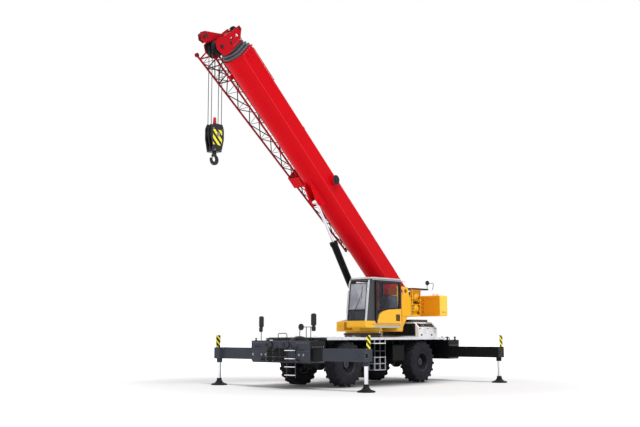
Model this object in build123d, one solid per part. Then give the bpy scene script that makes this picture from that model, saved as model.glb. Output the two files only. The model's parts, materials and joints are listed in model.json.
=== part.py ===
from build123d import *
import os
from math import atan2, cos, degrees, hypot, radians, sin, sqrt

# Two-axle rough-terrain mobile crane standing on its four outriggers.
# Millimetres. Origin on the ground under the slewing axis, +X forward, +Y left, +Z up.

# Clearances
FIT_GAP = 0.3            # running clearance of a pad, pin, gland or bearing
MOVE_GAP = 6.0           # clearance of a moving piece that is not guided there
TUBE_GAP = 8.0           # outrigger beam in its box tube, all round

# Carrier
DECK_TOP = 1640.0
DECK_THICK = 80.0
DECK_HALF_WIDTH = 1300.0
DECK_FRONT_X = 3500.0
DECK_REAR_X = -3430.0
FRAME_HALF_WIDTH = 400.0
FRAME_WALL = 30.0
FRAME_BELLY_Z = 760.0
FRAME_ARCH_Z = 930.0
ARCH_HALF_LENGTH = 430.0

# Axles, steering and wheels
FRONT_AXLE_X = 2280.0
REAR_AXLE_X = -1950.0
WHEEL_LIFT = 25.0        # wheels are held just off the ground by the jacks
TYRE_R = 740.0
TYRE_WIDTH = 520.0
TRACK = 2 * DECK_HALF_WIDTH - 600
KINGPIN_Y = TRACK / 2 - 300
KINGPIN_R = 70.0
STEER_DEG = 24.0
LUG_COUNT = 18
LUG_HEIGHT = 42.0
LUG_THICK = 92.0
BEAD_R = 335.0
RIM_WALL = 24.0
HUB_R = 150.0
RIM_DISH_Y = -100.0      # inboard face of the wheel's disc from the tyre's centre
SPINDLE_R = 70.0
SPINDLE_END_Y = TRACK / 2 + 40
AXLE_TUBE_R = 125.0
AXLE_Z = WHEEL_LIFT + TYRE_R

# Outriggers
BOX_FRONT_X = 4280.0     # outer face of either box, measured from the slewing axis
BOX_INNER_X = 3560.0
BOX_HALF_WIDTH = DECK_HALF_WIDTH + 15
BOX_BOTTOM_Z = 830.0
BOX_TOP_Z = 1540.0
JACK_X = 3917.0
JACK_Y = 3260.0
BEAM_OFFSET = 155.0      # the two beams of a box lie side by side
BEAM_WIDTH = 270.0
BEAM_BOTTOM_Z = 911.0
BEAM_TOP_Z = 1297.0
BEAM_END_Y = 3410.0
BEAM_INNER_Y = 620.0
BEAM_STROKE = 1650.0
BEAM_WALL = 14.0
JACK_ROD_R = 62.0
JACK_STROKE = 440.0
JACK_HOUSING_R = 98.0
JACK_HOUSING_LOW_Z = 780.0
PAD_R = 280.0
PAD_THICK = 40.0
SIGN_WIDTH = 190.0
SIGN_HEIGHT = 420.0
SIGN_THICK = 12.0

# Superstructure
RING_OUTER_R = 640.0
RING_INNER_R = 470.0
RING_TEETH = 48
PLATE_INNER_Y = 480.0    # boom-foot side plates
PLATE_THICK = 60.0
TABLE_BOTTOM_Z = 1850.0
TABLE_PLATE = 40.0
NOSE_X = 800.0           # front of the turntable's side plates
SHAFT_HOLE_R = 450.0
FOOT_X = -1618.0
FOOT_Z = 3339.0
FOOT_PIN_R = 75.0

# Cab
CAB_REAR_X = -390.0
CAB_FRONT_X = 1630.0
CAB_RAKE = 255.0
CAB_INNER_Y = 580.0
CAB_OUTER_Y = 1460.0
CAB_BOTTOM_Z = 1970.0
CAB_SKIRT_Z = 2200.0
CAB_TOP_Z = 3690.0
CAB_WALL = 50.0
GLASS_THICK = 8.0
DOOR_THICK = 40.0
DOOR_STROKE = 900.0

# Counterweight and winches
CW_FRONT_X = -2940.0
CW_REAR_X = -3490.0
CW_HALF_WIDTH = 1365.0
CW_BOTTOM_Z = 2430.0
CW_TOP_Z = 3200.0
CW_CORNER_X = 40.0       # corner cut of its rear face
CW_CORNER_Y = 120.0
WINCH_ROOF_Z = 3470.0
WINCH_DRUM_R = 150.0
WINCH_FLANGE_R = 215.0

# Boom, in its own axes: u along it from the foot pin, w square to it and up
LUFF_DEG = 42.08
BOOM_HALF_WIDTH = 418.0
BOOM_TOP_W = 434.0
BOOM_BELLY_R = 464.0
BOOM_BELLY_W = 44.0      # centre of the belly's arc
BOOM_WALL = 10.0
SECTION_STEP = 45.0      # each section is this much smaller all round
BOOM_TAIL_U = -350.0
BASE_END_U = 10850.0
COLLAR_LENGTH = 62.0
SECTION_TAIL_STEP = 300.0
HEAD_STEP = 95.0         # each section's head stands this far out of the last one's
HEAD_START_U = BASE_END_U + 3 * HEAD_STEP
HEAD_LENGTH = 350.0      # from the last section's end to the sheave pin
SHEAVE_U = HEAD_START_U + HEAD_LENGTH
SHEAVE_W = -545.0
SHEAVE_PITCH_R = 209.5
GUIDE_U = SHEAVE_U - 30
GUIDE_W = 530.0
GUIDE_PIN_R = 30.0
ROPE_R = 11.0
FALL_Y = 75.0
HEAD_SHEAVE_STEP = 85.0
EYE_U = 5050.0
EYE_W = -560.0

# Luffing cylinder
CYL_FOOT_X = -200.0
CYL_FOOT_Z = 2200.0
CYL_BARREL_R = 125.0
CYL_BORE_R = 95.0
CYL_ROD_R = 52.0
CYL_BARREL_LENGTH = 3200.0
CYL_FOOT_HALF = 120.0

# Hook block
BLOCK_TOP_Z = 8180.0
BLOCK_BOTTOM_Z = 7310.0
BLOCK_HALF_LENGTH = 240.0
BLOCK_HALF_WIDTH = 170.0
HOOK_R = 125.0
HOOK_BAR_R = 42.0

# Stowed lattice jib, in boom axes
JIB_FOOT_U = SHEAVE_U - 200
JIB_TIP_U = 2200.0
JIB_CHORD = 48.0
JIB_LACE = 24.0
JIB_BAYS = 13
JIB_SADDLE_U = 5700.0
JIB_STOP_U = BASE_END_U - 600
JIB_CORNERS = [  # y and w at the foot, y and w at the tip
    (-520.0, -320.0, -520.0, -70.0),
    (-1180.0, -320.0, -680.0, -70.0),
    (-1180.0, 460.0, -680.0, 200.0),
    (-520.0, 460.0, -520.0, 200.0),
]


def box(x, y, z):
    """Box between pairs of limits."""
    size = Box(abs(x[1] - x[0]), abs(y[1] - y[0]), abs(z[1] - z[0]))
    return Pos((x[0] + x[1]) / 2, (y[0] + y[1]) / 2, (z[0] + z[1]) / 2) * size


def plate_y(points, y):
    """Outline in X and Z, between two Y values."""
    plane = Plane(origin=(0, max(y), 0), x_dir=(1, 0, 0), z_dir=(0, -1, 0))
    return extrude(plane * make_face(Polyline(*points, close=True)), abs(y[1] - y[0]))


def plate_x(points, x):
    """Outline in Y and Z, between two X values."""
    plane = Plane(origin=(min(x), 0, 0), x_dir=(0, 1, 0), z_dir=(1, 0, 0))
    return extrude(plane * make_face(Polyline(*points, close=True)), abs(x[1] - x[0]))


def plate_z(points, z):
    """Outline in X and Y, between two Z values."""
    face = make_face(Polyline(*points, close=True))
    return extrude(Plane(origin=(0, 0, min(z))) * face, abs(z[1] - z[0]))


def pipe(start, end, radius):
    """Round bar between two points."""
    a, b = Vector(*start), Vector(*end)
    return extrude(Plane(origin=a, z_dir=b - a) * Circle(radius), (b - a).length)


def bar(start, end, width):
    """Square bar between two points."""
    a, b = Vector(*start), Vector(*end)
    plane = Plane(origin=a, z_dir=b - a)
    return extrude(plane * Rectangle(width, width), (b - a).length)


def turned(points):
    """Solid of revolution about Y, from an outline of radius and Y."""
    plane = Plane(origin=(0, 0, 0), x_dir=(1, 0, 0), z_dir=(0, 0, 1))
    return revolve(plane * make_face(Polyline(*points, close=True)), Axis.Y)


def spun(points):
    """Solid of revolution about Z, from an outline of radius and Z."""
    plane = Plane(origin=(0, 0, 0), x_dir=(1, 0, 0), z_dir=(0, -1, 0))
    return revolve(plane * make_face(Polyline(*points, close=True)), Axis.Z)


def fused(pieces):
    """One shape from a list of touching or crossing pieces."""
    pieces = list(pieces)
    return pieces[0] if len(pieces) == 1 else pieces[0].fuse(*pieces[1:])


def write(name, *shapes):
    """One STEP for a node, holding every solid given."""
    solids = [s for shape in shapes for s in shape.solids()]
    export_step(solids[0] if len(solids) == 1 else Compound(solids), f"parts/{name}.step")


os.makedirs("parts", exist_ok=True)

# ---------------------------------------------------------------- carrier frame
deck_low = DECK_TOP - DECK_THICK
frame_ends = BOX_INNER_X
side = [(-frame_ends, BOX_BOTTOM_Z + 60)]
for axle_x in (REAR_AXLE_X, FRONT_AXLE_X):
    lead = ARCH_HALF_LENGTH + 150
    side.append((axle_x - lead, FRAME_BELLY_Z if axle_x > 0 else BOX_BOTTOM_Z + 60))
    side.append((axle_x - ARCH_HALF_LENGTH, FRAME_ARCH_Z))
    side.append((axle_x + ARCH_HALF_LENGTH, FRAME_ARCH_Z))
    side.append((axle_x + lead, FRAME_BELLY_Z if axle_x < 0 else BOX_BOTTOM_Z + 60))
side.append((frame_ends, BOX_BOTTOM_Z + 60))
side.append((frame_ends, BOX_TOP_Z - 60))
side.append((frame_ends - 200, deck_low))
side.append((-frame_ends + 200, deck_low))
side.append((-frame_ends, BOX_TOP_Z - 60))
frame = plate_y(side, (-FRAME_HALF_WIDTH, FRAME_HALF_WIDTH))
inner_half = FRAME_HALF_WIDTH - FRAME_WALL
bay_z = (FRAME_ARCH_Z + FRAME_WALL, deck_low - FRAME_WALL)
bays = [(-3480, -2500), (-2420, -1000), (-920, 920), (1000, 1500), (1580, 2900), (2980, 3480)]
for low, high in bays:
    frame -= box((low, high), (-inner_half, inner_half), bay_z)
frame -= box((-920, 920), (-inner_half, inner_half), (FRAME_BELLY_Z + FRAME_WALL, bay_z[0] + 1))
for axle_x in (REAR_AXLE_X, FRONT_AXLE_X):
    frame -= box((axle_x - 300, axle_x + 300), (-310, 310), (FRAME_ARCH_Z - 1, bay_z[0] + 1))
for hole_x in (-3000, -1500, -600, 600, 1250, 3200):
    frame -= Pos(hole_x, 0, 1240) * Rot(90, 0, 0) * Cylinder(110, 2.5 * FRAME_HALF_WIDTH)
# Deck brackets that run out from the frame's webs under the deck's edge
for rib_x in (-3300, -2900, -1000, -250, 150, 950, 1350, 3330):
    for s in (1, -1):
        rib = [(s * FRAME_HALF_WIDTH, 1200), (s * FRAME_HALF_WIDTH, deck_low),
               (s * (DECK_HALF_WIDTH - 60), deck_low), (s * (DECK_HALF_WIDTH - 60), deck_low - 60)]
        frame = frame.fuse(plate_x(rib, (rib_x - 12, rib_x + 12)))
write("chassis_frame", frame)

# Deck with its light edge, open round the slewing ring
deck = box((DECK_REAR_X, DECK_FRONT_X), (-DECK_HALF_WIDTH, DECK_HALF_WIDTH), (deck_low, DECK_TOP))
deck = fillet(deck.edges().filter_by(Axis.Z), 40)
deck -= Pos(0, 0, DECK_TOP) * Cylinder(RING_OUTER_R + FIT_GAP, 4 * DECK_THICK)
write("deck", deck)

# ---------------------------------------------------------------- outrigger boxes
tube_y = BOX_HALF_WIDTH + 1
tube_z = (BEAM_BOTTOM_Z - TUBE_GAP, BEAM_TOP_Z + TUBE_GAP)
beam_half = BEAM_WIDTH / 2
shell = 16.0


def outrigger_box():
    """Box at the +X end; its left beam lies outboard, its right beam inboard."""
    outline = [(BOX_INNER_X, BOX_BOTTOM_Z), (BOX_FRONT_X - 70, BOX_BOTTOM_Z),
               (BOX_FRONT_X, BOX_BOTTOM_Z + 90), (BOX_FRONT_X, BOX_TOP_Z - 30),
               (BOX_FRONT_X - 30, BOX_TOP_Z), (BOX_INNER_X, BOX_TOP_Z)]
    body = plate_y(outline, (-BOX_HALF_WIDTH, BOX_HALF_WIDTH))
    for s in (1, -1):
        middle = JACK_X + s * BEAM_OFFSET
        half = beam_half + TUBE_GAP
        body -= box((middle - half, middle + half), (-tube_y, tube_y), tube_z)
    # Wear pads guide each beam under and over, close to the mouth and at the inner end
    pads = []
    for s in (1, -1):
        middle = JACK_X + s * BEAM_OFFSET
        for y_out, low in ((BOX_HALF_WIDTH - 20, True), (BOX_HALF_WIDTH - 640, False)):
            y_pair = (s * y_out, s * (y_out - 120))
            z_pair = (tube_z[0] - 1, BEAM_BOTTOM_Z - FIT_GAP)
            if not low:
                z_pair = (BEAM_TOP_Z + FIT_GAP, tube_z[1] + 1)
            pads.append(box((middle - 100, middle + 100), y_pair, z_pair))
            for e in (1, -1):
                x_in = middle + e * (beam_half + FIT_GAP)
                x_out = middle + e * (beam_half + TUBE_GAP + 1)
                pads.append(box((x_in, x_out), y_pair, (1040, 1160)))
    return body.fuse(*pads)


front_box = outrigger_box()
# Nose details: recess, tow eyes, lamp buckets, lifting eyes and step tread
front_box -= box((BOX_FRONT_X - 10, BOX_FRONT_X + 5), (-300, 290), (1010, 1300))
front_box = front_box.fuse(*[
    Pos(BOX_FRONT_X + 10, y, 1415) * Rot(0, 90, 0) * Cylinder(78, 60) for y in (-430, 340)])
TOW_Y = 780.0
TOW_Z = 930.0
TOW_EYE_R = 45.0
for s in (1, -1):
    ear = [(BOX_FRONT_X - 5, TOW_Z - 90), (BOX_FRONT_X + 60, TOW_Z - 90),
           (BOX_FRONT_X + 110, TOW_Z - 30), (BOX_FRONT_X + 110, TOW_Z + 30),
           (BOX_FRONT_X + 60, TOW_Z + 90), (BOX_FRONT_X - 5, TOW_Z + 90)]
    tow = plate_y(ear, (s * TOW_Y - 20, s * TOW_Y + 20))
    tow -= Pos(BOX_FRONT_X + 55, s * TOW_Y, TOW_Z) * Rot(90, 0, 0) * Cylinder(TOW_EYE_R, 60)
    front_box = front_box.fuse(tow)
dome = Pos(JACK_X - 90, 440, BOX_TOP_Z - 290) * Sphere(440)
dome = dome & box((BOX_INNER_X, BOX_FRONT_X), (0, 880), (BOX_TOP_Z - 1, BOX_TOP_Z + 200))
front_box = front_box.fuse(dome)
write("front_outrigger_box", front_box)

rear_box = Rot(0, 0, 180) * outrigger_box()
for s in (1, -1):
    lamp = box((-BOX_FRONT_X - 40, -BOX_FRONT_X + 5), (s * 900, s * 1200), (1330, 1450))
    rear_box = rear_box.fuse(lamp)
rear_box = rear_box.fuse(
    box((-BOX_FRONT_X - 90, -BOX_FRONT_X + 5), (-180, 180), (1000, 1220)))
write("rear_outrigger_box", rear_box)

# ---------------------------------------------------------------- outrigger beams and jacks
sign_low = BEAM_TOP_Z
bore_top = BEAM_TOP_Z - 17


def outrigger_beam(outboard):
    """Left beam of the front box, or of the rear one if it is the inboard beam."""
    shift = BEAM_OFFSET if outboard else -BEAM_OFFSET
    middle = JACK_X + shift
    beam = box((middle - beam_half, middle + beam_half), (BEAM_INNER_Y, BEAM_END_Y),
               (BEAM_BOTTOM_Z, BEAM_TOP_Z))
    beam -= box((middle - beam_half + BEAM_WALL, middle + beam_half - BEAM_WALL),
                (BEAM_INNER_Y - 1, JACK_Y - 2 * JACK_HOUSING_R),
                (BEAM_BOTTOM_Z + BEAM_WALL, BEAM_TOP_Z - BEAM_WALL))
    edge = middle - beam_half if outboard else middle + beam_half
    far = JACK_X - JACK_HOUSING_R - 22 if outboard else JACK_X + JACK_HOUSING_R + 22
    head = box((edge, far), (JACK_Y - JACK_HOUSING_R - 22, BEAM_END_Y), (BEAM_BOTTOM_Z, BEAM_TOP_Z))
    housing = Pos(JACK_X, JACK_Y, (JACK_HOUSING_LOW_Z + BEAM_BOTTOM_Z) / 2 + 10) * Cylinder(
        JACK_HOUSING_R, BEAM_BOTTOM_Z - JACK_HOUSING_LOW_Z + 20)
    boss_x = middle + (beam_half if outboard else -beam_half)
    boss = Pos(boss_x, JACK_Y - 120, (BEAM_BOTTOM_Z + BEAM_TOP_Z) / 2)
    boss = boss * Rot(0, 90, 0) * Cylinder(75, 24)
    sign_x = JACK_X + (60 if outboard else -60)
    sign = box((sign_x - SIGN_WIDTH / 2, sign_x + SIGN_WIDTH / 2),
               (BEAM_END_Y - SIGN_THICK, BEAM_END_Y), (sign_low - 1, sign_low + SIGN_HEIGHT))
    beam = beam.fuse(head, housing, boss, sign)
    gland = Pos(JACK_X, JACK_Y, JACK_HOUSING_LOW_Z + 25) * Cylinder(JACK_ROD_R + FIT_GAP, 60)
    bore_low = JACK_HOUSING_LOW_Z + 50
    bore = Pos(JACK_X, JACK_Y, (bore_low + bore_top) / 2) * Cylinder(
        JACK_ROD_R + MOVE_GAP, bore_top - bore_low)
    return beam - gland - bore


def outrigger_jack():
    """Rod with its round float."""
    neck = PAD_THICK + 210
    rod_top = bore_top - JACK_STROKE - MOVE_GAP
    outline = [(0, 0), (PAD_R - 20, 0), (PAD_R, 15), (PAD_R, PAD_THICK), (150, 85),
               (95, 150), (80, neck), (JACK_ROD_R, neck), (JACK_ROD_R, rod_top), (0, rod_top)]
    return Pos(JACK_X, JACK_Y, 0) * spun(outline)


CORNERS = [  # name, turned half a turn, mirrored, outboard beam
    ("front_left", False, False, True),
    ("front_right", False, True, False),
    ("rear_left", True, True, False),
    ("rear_right", True, False, True),
]
for name, turn, flip, outboard in CORNERS:
    for kind, piece in (("beam", outrigger_beam(outboard)), ("jack", outrigger_jack())):
        if flip:
            piece = mirror(piece, about=Plane.XZ)
        if turn:
            piece = Rot(0, 0, 180) * piece
        write(f"outrigger_{kind}_{name}", piece)

# ---------------------------------------------------------------- axles and wheels
half_tyre = TYRE_WIDTH / 2
tyre_y = TRACK / 2
yoke_half = 205.0        # height of a kingpin yoke above and below the axle's centre
yoke_ear = 62.0
knuckle_half = yoke_half - yoke_ear - FIT_GAP
yoke_plan_r = 115.0


def axle(diff_x):
    """Drive axle housing with its kingpin yokes, bowl and frame pads, at X = 0."""
    reach = KINGPIN_Y - yoke_plan_r - 40
    tube = Rot(90, 0, 0) * Cylinder(AXLE_TUBE_R, 2 * reach)
    bowl_line = [(-210, 0), (-210, 90), (-150, 170), (-60, 225), (70, 225), (190, 150), (235, 60), (235, 0)]
    bowl = revolve(make_face(Polyline(*bowl_line, close=True)), Axis.X)
    bowl = Pos(diff_x, 0, 0) * bowl
    pieces = [tube, bowl]
    for s in (1, -1):
        back = box((-95, 95), (s * (reach - 60), s * (reach + 30)), (-yoke_half, yoke_half))
        pieces.append(back)
        for e in (1, -1):
            z_in, z_out = e * (yoke_half - yoke_ear), e * yoke_half
            arm = box((-95, 95), (s * (reach - 60), s * KINGPIN_Y), (z_in, z_out))
            cap = Pos(0, s * KINGPIN_Y, (z_in + z_out) / 2) * Cylinder(yoke_plan_r, yoke_ear)
            pieces += [arm, cap]
        seat = FRAME_ARCH_Z - AXLE_Z
        pieces.append(box((-150, 150), (s * 325, s * (FRAME_HALF_WIDTH - 5)), (0, seat)))
    # Steering cylinder that lies across the front of the housing
    pieces.append(Pos(AXLE_TUBE_R + 20, 0, 90) * Rot(90, 0, 0) * Cylinder(45, 620))
    body = fused(pieces)
    for s in (1, -1):
        body -= Pos(0, s * KINGPIN_Y, 0) * Cylinder(KINGPIN_R + FIT_GAP, 3 * yoke_half)
    return body


write("front_axle", Pos(FRONT_AXLE_X, 0, AXLE_Z) * axle(60))
write("rear_axle", Pos(REAR_AXLE_X, 0, AXLE_Z) * Rot(0, 0, 180) * axle(60))


def knuckle():
    """Left steering knuckle about its kingpin, with the wheel spindle outward."""
    core = Cylinder(yoke_plan_r - 8, 2 * knuckle_half)
    pin = Cylinder(KINGPIN_R, 2 * yoke_half)
    step = yoke_plan_r + MOVE_GAP
    face = tyre_y + RIM_DISH_Y - KINGPIN_Y - FIT_GAP
    drum = turned([(0, 40), (100, 40), (100, step), (HUB_R, step), (HUB_R, face), (SPINDLE_R, face),
                   (SPINDLE_R, SPINDLE_END_Y - KINGPIN_Y), (0, SPINDLE_END_Y - KINGPIN_Y)])
    return fused([core, pin, drum])


def tread_lug():
    """One lug on +Z: a skewed bar from beside the centre line, cut down over the shoulder."""
    low, lean, end = TYRE_R - LUG_HEIGHT - 55, LUG_THICK * 0.75, half_tyre * 0.97
    half = LUG_THICK / 2
    plan = [(-half, 14), (half, 14), (lean + half, end), (lean - half, end)]
    lug = plate_z(plan, (low, TYRE_R))
    knee = half_tyre * 0.70
    cut = [(knee, TYRE_R), (end + 1, TYRE_R - LUG_HEIGHT - 6), (end + 1, TYRE_R + 1), (knee, TYRE_R + 1)]
    return lug - plate_x(cut, (-3 * LUG_THICK, 3 * LUG_THICK))


def polygon_solid(rings, count):
    """Closed solid of flat faces about Y, through rings of radius and Y that end where they start."""
    def corner(ring, i):
        angle = radians((i + 0.5) * 360 / count)
        return Vector(ring[0] * cos(angle), ring[1], ring[0] * sin(angle))

    faces = []
    for first, second in zip(rings, rings[1:] + rings[:1]):
        for i in range(count):
            quad = [corner(first, i), corner(second, i), corner(second, i + 1), corner(first, i + 1)]
            faces.append(make_face(Polyline(*quad, close=True)).face())
    return Solid(Shell(faces))


def tyre():
    """Left tyre about its own centre: carcass under two staggered rows of skewed lugs."""
    base_r, pitch = TYRE_R - LUG_HEIGHT, 360 / LUG_COUNT
    corner_r = BEAD_R / cos(radians(90 / LUG_COUNT))
    side = [(corner_r, 0.80), (corner_r + 29, 0.80), (corner_r + 75, 0.98), (base_r - 130, 1.0),
            (base_r, 0.82)]
    rings = [(r, -half_tyre * share) for r, share in side]
    rings += [(r, half_tyre * share) for r, share in reversed(side)]
    carcass = polygon_solid(rings, 2 * LUG_COUNT)
    lug = tread_lug()
    lugs = []
    for piece, start in ((lug, 0.0), (mirror(lug, about=Plane.XZ), 0.5)):
        for i in range(LUG_COUNT):
            lugs.append(Rot(0, (i + start) * pitch, 0) * piece)
    return carcass.fuse(*lugs)


def rim():
    """Left wheel about its own centre: barrel, deep dish, hub and planetary cover."""
    seat = half_tyre * 0.80
    out = seat + 22
    dish = RIM_DISH_Y
    well = SPINDLE_END_Y - tyre_y + FIT_GAP
    well_r = SPINDLE_R + FIT_GAP
    inner_r = BEAD_R - RIM_WALL
    barrel = turned([(BEAD_R + 25, -out), (BEAD_R + 25, -seat - FIT_GAP), (BEAD_R - FIT_GAP, -seat),
                     (BEAD_R - FIT_GAP, seat), (BEAD_R + 25, seat + FIT_GAP), (BEAD_R + 25, out),
                     (inner_r, out), (inner_r - 20, dish + 90), (HUB_R + 50, dish + 60),
                     (HUB_R + 20, dish + 130), (HUB_R - 40, dish + 215), (0, dish + 215),
                     (0, well), (well_r, well), (well_r, dish), (inner_r - 20, dish), (inner_r, -out)])
    return barrel


left_tyre, left_rim, left_knuckle = tyre(), rim(), knuckle()
WHEELS = [  # name, axle position, side
    ("front_left", FRONT_AXLE_X, 1),
    ("front_right", FRONT_AXLE_X, -1),
    ("rear_left", REAR_AXLE_X, 1),
    ("rear_right", REAR_AXLE_X, -1),
]
for name, x, s in WHEELS:
    for kind, piece, y in (("tyre", left_tyre, tyre_y), ("rim", left_rim, tyre_y),
                           ("knuckle", left_knuckle, KINGPIN_Y)):
        if s < 0:
            piece = mirror(piece, about=Plane.XZ)
        write(f"{kind}_{name}", Pos(x, s * y, AXLE_Z) * piece)

# ---------------------------------------------------------------- carrier fittings
HOOD_FRONT_X = -2200.0
HOOD_REAR_X = -3400.0
HOOD_HALF_WIDTH = 900.0
HOOD_TOP_Z = 2200.0
HOOD_WALL = 20.0
HOOD_CHAMFER = 230.0


def hood_outline(inset):
    """Section of the engine hood with its chamfered shoulders."""
    half, top, cut = HOOD_HALF_WIDTH - inset, HOOD_TOP_Z - inset, HOOD_CHAMFER - inset * 0.4
    return [(-half, DECK_TOP), (-half, top - cut), (-half + cut, top),
            (half - cut, top), (half, top - cut), (half, DECK_TOP)]


hood = plate_x(hood_outline(0), (HOOD_REAR_X, HOOD_FRONT_X))
inside = plate_x(hood_outline(HOOD_WALL), (HOOD_REAR_X + HOOD_WALL, HOOD_FRONT_X - HOOD_WALL))
hood -= inside
# Louvre slots along both chamfers
louvre_z = HOOD_TOP_Z - HOOD_CHAMFER / 2
for s in (1, -1):
    for i in range(7):
        slot = Rot(s * -45, 0, 0) * Box(40, 170, 60)
        hood -= Pos(HOOD_FRONT_X - 160 - 95 * i, s * (HOOD_HALF_WIDTH - HOOD_CHAMFER / 2), louvre_z) * slot
# Front grille: recessed opening crossed by slats
grille = [(y * 0.84, DECK_TOP + 60 if z == DECK_TOP else z - 50) for y, z in hood_outline(0)]
hood -= plate_x(grille, (HOOD_FRONT_X - HOOD_WALL - 1, HOOD_FRONT_X + 1))
slats = [box((HOOD_FRONT_X - HOOD_WALL, HOOD_FRONT_X - 4), (-770, 770), (z, z + 22))
         for z in range(1740, 2140, 52)]
slat_mask = plate_x([(y * 0.86, z) for y, z in hood_outline(0)], (HOOD_FRONT_X - 30, HOOD_FRONT_X))
slats = [s & slat_mask for s in slats]
cleaner = box((HOOD_FRONT_X - 60, HOOD_FRONT_X - 1080), (-260, 560), (HOOD_TOP_Z - 1, HOOD_TOP_Z + 100))
exhaust = Pos(HOOD_REAR_X + 160, -480, HOOD_TOP_Z + 40) * Cylinder(45, 90)
hood = hood.fuse(*slats, cleaner, exhaust)
write("engine_hood", hood)

engine = box((HOOD_REAR_X + 150, HOOD_FRONT_X - 250), (-360, 360), (DECK_TOP, DECK_TOP + 470))
write("engine", engine)

# Ladders: one down the nose, one caged set of steps between the wheels
LADDER_Y = (310.0, 690.0)
RUNG_Z = [1220.0, 960.0, 700.0, 440.0]
ladder = []
for y in LADDER_Y:
    ladder.append(box((BOX_FRONT_X, BOX_FRONT_X + 30), (y - 9, y + 9), (360, 1330)))
for z in RUNG_Z:
    rung_y = (LADDER_Y[0] - 9, LADDER_Y[1] + 9)
    ladder.append(box((BOX_FRONT_X + 5, BOX_FRONT_X + 120), rung_y, (z, z + 24)))
front_ladder = fused(ladder)
STEP_X = (300.0, 930.0)
STEP_Y = (DECK_HALF_WIDTH - 320.0, DECK_HALF_WIDTH - 30.0)
side_steps = []
for s in (1, -1):
    step = []
    for x in (STEP_X[0] + 15, (STEP_X[0] + STEP_X[1]) / 2, STEP_X[1] - 15):
        for y in (STEP_Y[0] + 15, STEP_Y[1] - 15):
            step.append(box((x - 14, x + 14), (s * (y - 14), s * (y + 14)), (520, deck_low)))
    for z in (520, 735, 950, 1165, 1425):
        step.append(box(STEP_X, (s * STEP_Y[0], s * STEP_Y[1]), (z, z + 26)))
    side_steps.append(fused(step))
write("ladders", front_ladder, *side_steps)

# Fuel and hydraulic tanks hung beside the frame
tanks = []
for s in (1, -1):
    tank = box((-980, -300), (s * (FRAME_HALF_WIDTH + 12), s * 1130), (800, 1380))
    tank = fillet(tank.edges().filter_by(Axis.X), 60)
    straps = [box((x - 25, x + 25), (s * FRAME_HALF_WIDTH, s * 1140), (1370, 1400)) for x in (-860, -420)]
    hangers = [box((x - 25, x + 25), (s * FRAME_HALF_WIDTH, s * (FRAME_HALF_WIDTH + 40)), (900, 1395))
               for x in (-860, -420)]
    posts = [box((x - 25, x + 25), (s * 1000, s * 1040), (1390, deck_low)) for x in (-860, -420)]
    tanks.append(fused([tank, *straps, *hangers, *posts]))
write("side_tanks", *tanks)

# Mirrors, grab hoop and posts on the nose
MIRROR_X = 4210.0
mirror_set = []
right = [pipe((MIRROR_X, -930, BOX_TOP_Z), (MIRROR_X, -930, 2300), 12),
         box((MIRROR_X - 20, MIRROR_X + 20), (-1005, -855), (1990, 2320)),
         box((MIRROR_X - 20, MIRROR_X + 20), (-1005, -895), (1840, 1960))]
mirror_set.append(fused(right))
left = [pipe((MIRROR_X, 1270, BOX_TOP_Z), (MIRROR_X, 1270, 1985), 12),
        pipe((MIRROR_X, 800, BOX_TOP_Z), (MIRROR_X, 800, 1985), 12),
        pipe((MIRROR_X, 1080, BOX_TOP_Z), (MIRROR_X, 1080, 1985), 12),
        bar((MIRROR_X, 780, 1975), (MIRROR_X, 1400, 1975), 22),
        pipe((MIRROR_X, 1390, 1970), (MIRROR_X, 1390, 2360), 10),
        box((MIRROR_X - 20, MIRROR_X + 20), (1315, 1465), (2030, 2380)),
        box((MIRROR_X - 20, MIRROR_X + 20), (1335, 1445), (1860, 1990)),
        Pos(MIRROR_X + 25, 880, 1975) * Rot(0, 90, 0) * Cylinder(105, 36)]
mirror_set.append(fused(left))
hoop_line = FilletPolyline((MIRROR_X, -155, BOX_TOP_Z), (MIRROR_X, -155, 1775),
                           (MIRROR_X, 235, 1775), (MIRROR_X, 235, BOX_TOP_Z), radius=60)
hoop = sweep(Plane(origin=(MIRROR_X, -155, BOX_TOP_Z), z_dir=(0, 0, 1)) * Circle(13), path=hoop_line)
mirror_set.append(hoop)
write("mirrors", *mirror_set)

# ---------------------------------------------------------------- slewing ring and turntable
ring_top = TABLE_BOTTOM_Z - 60
pedestal = Pos(0, 0, (deck_low + ring_top - 70) / 2) * Cylinder(RING_OUTER_R, ring_top - 70 - deck_low)
tooth = [(RING_OUTER_R - 5, -22), (RING_OUTER_R + 32, -13), (RING_OUTER_R + 32, 13), (RING_OUTER_R - 5, 22)]
teeth = [Rot(0, 0, i * 360 / RING_TEETH) * plate_z(tooth, (ring_top - 70, ring_top))
         for i in range(RING_TEETH)]
gear = Pos(0, 0, ring_top - 35) * Cylinder(RING_OUTER_R, 70)
ring = fused([pedestal, gear, *teeth])
ring -= Pos(0, 0, ring_top) * Cylinder(RING_INNER_R, 4000)
write("slew_ring", ring)

table_top = TABLE_BOTTOM_Z + TABLE_PLATE
plate_outer = PLATE_INNER_Y + PLATE_THICK
bearing = Pos(0, 0, (ring_top + FIT_GAP + TABLE_BOTTOM_Z) / 2) * Cylinder(
    RING_OUTER_R - 30, TABLE_BOTTOM_Z - ring_top - FIT_GAP)
base = plate_z([(NOSE_X, -plate_outer), (NOSE_X, plate_outer), (450, 760), (-700, 900),
                (-1650, plate_outer), (-1650, -plate_outer), (-700, -900), (450, -760)],
               (TABLE_BOTTOM_Z, table_top))
table = base.fuse(bearing)
table -= Pos(0, 0, TABLE_BOTTOM_Z) * Cylinder(SHAFT_HOLE_R, 1000)
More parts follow.
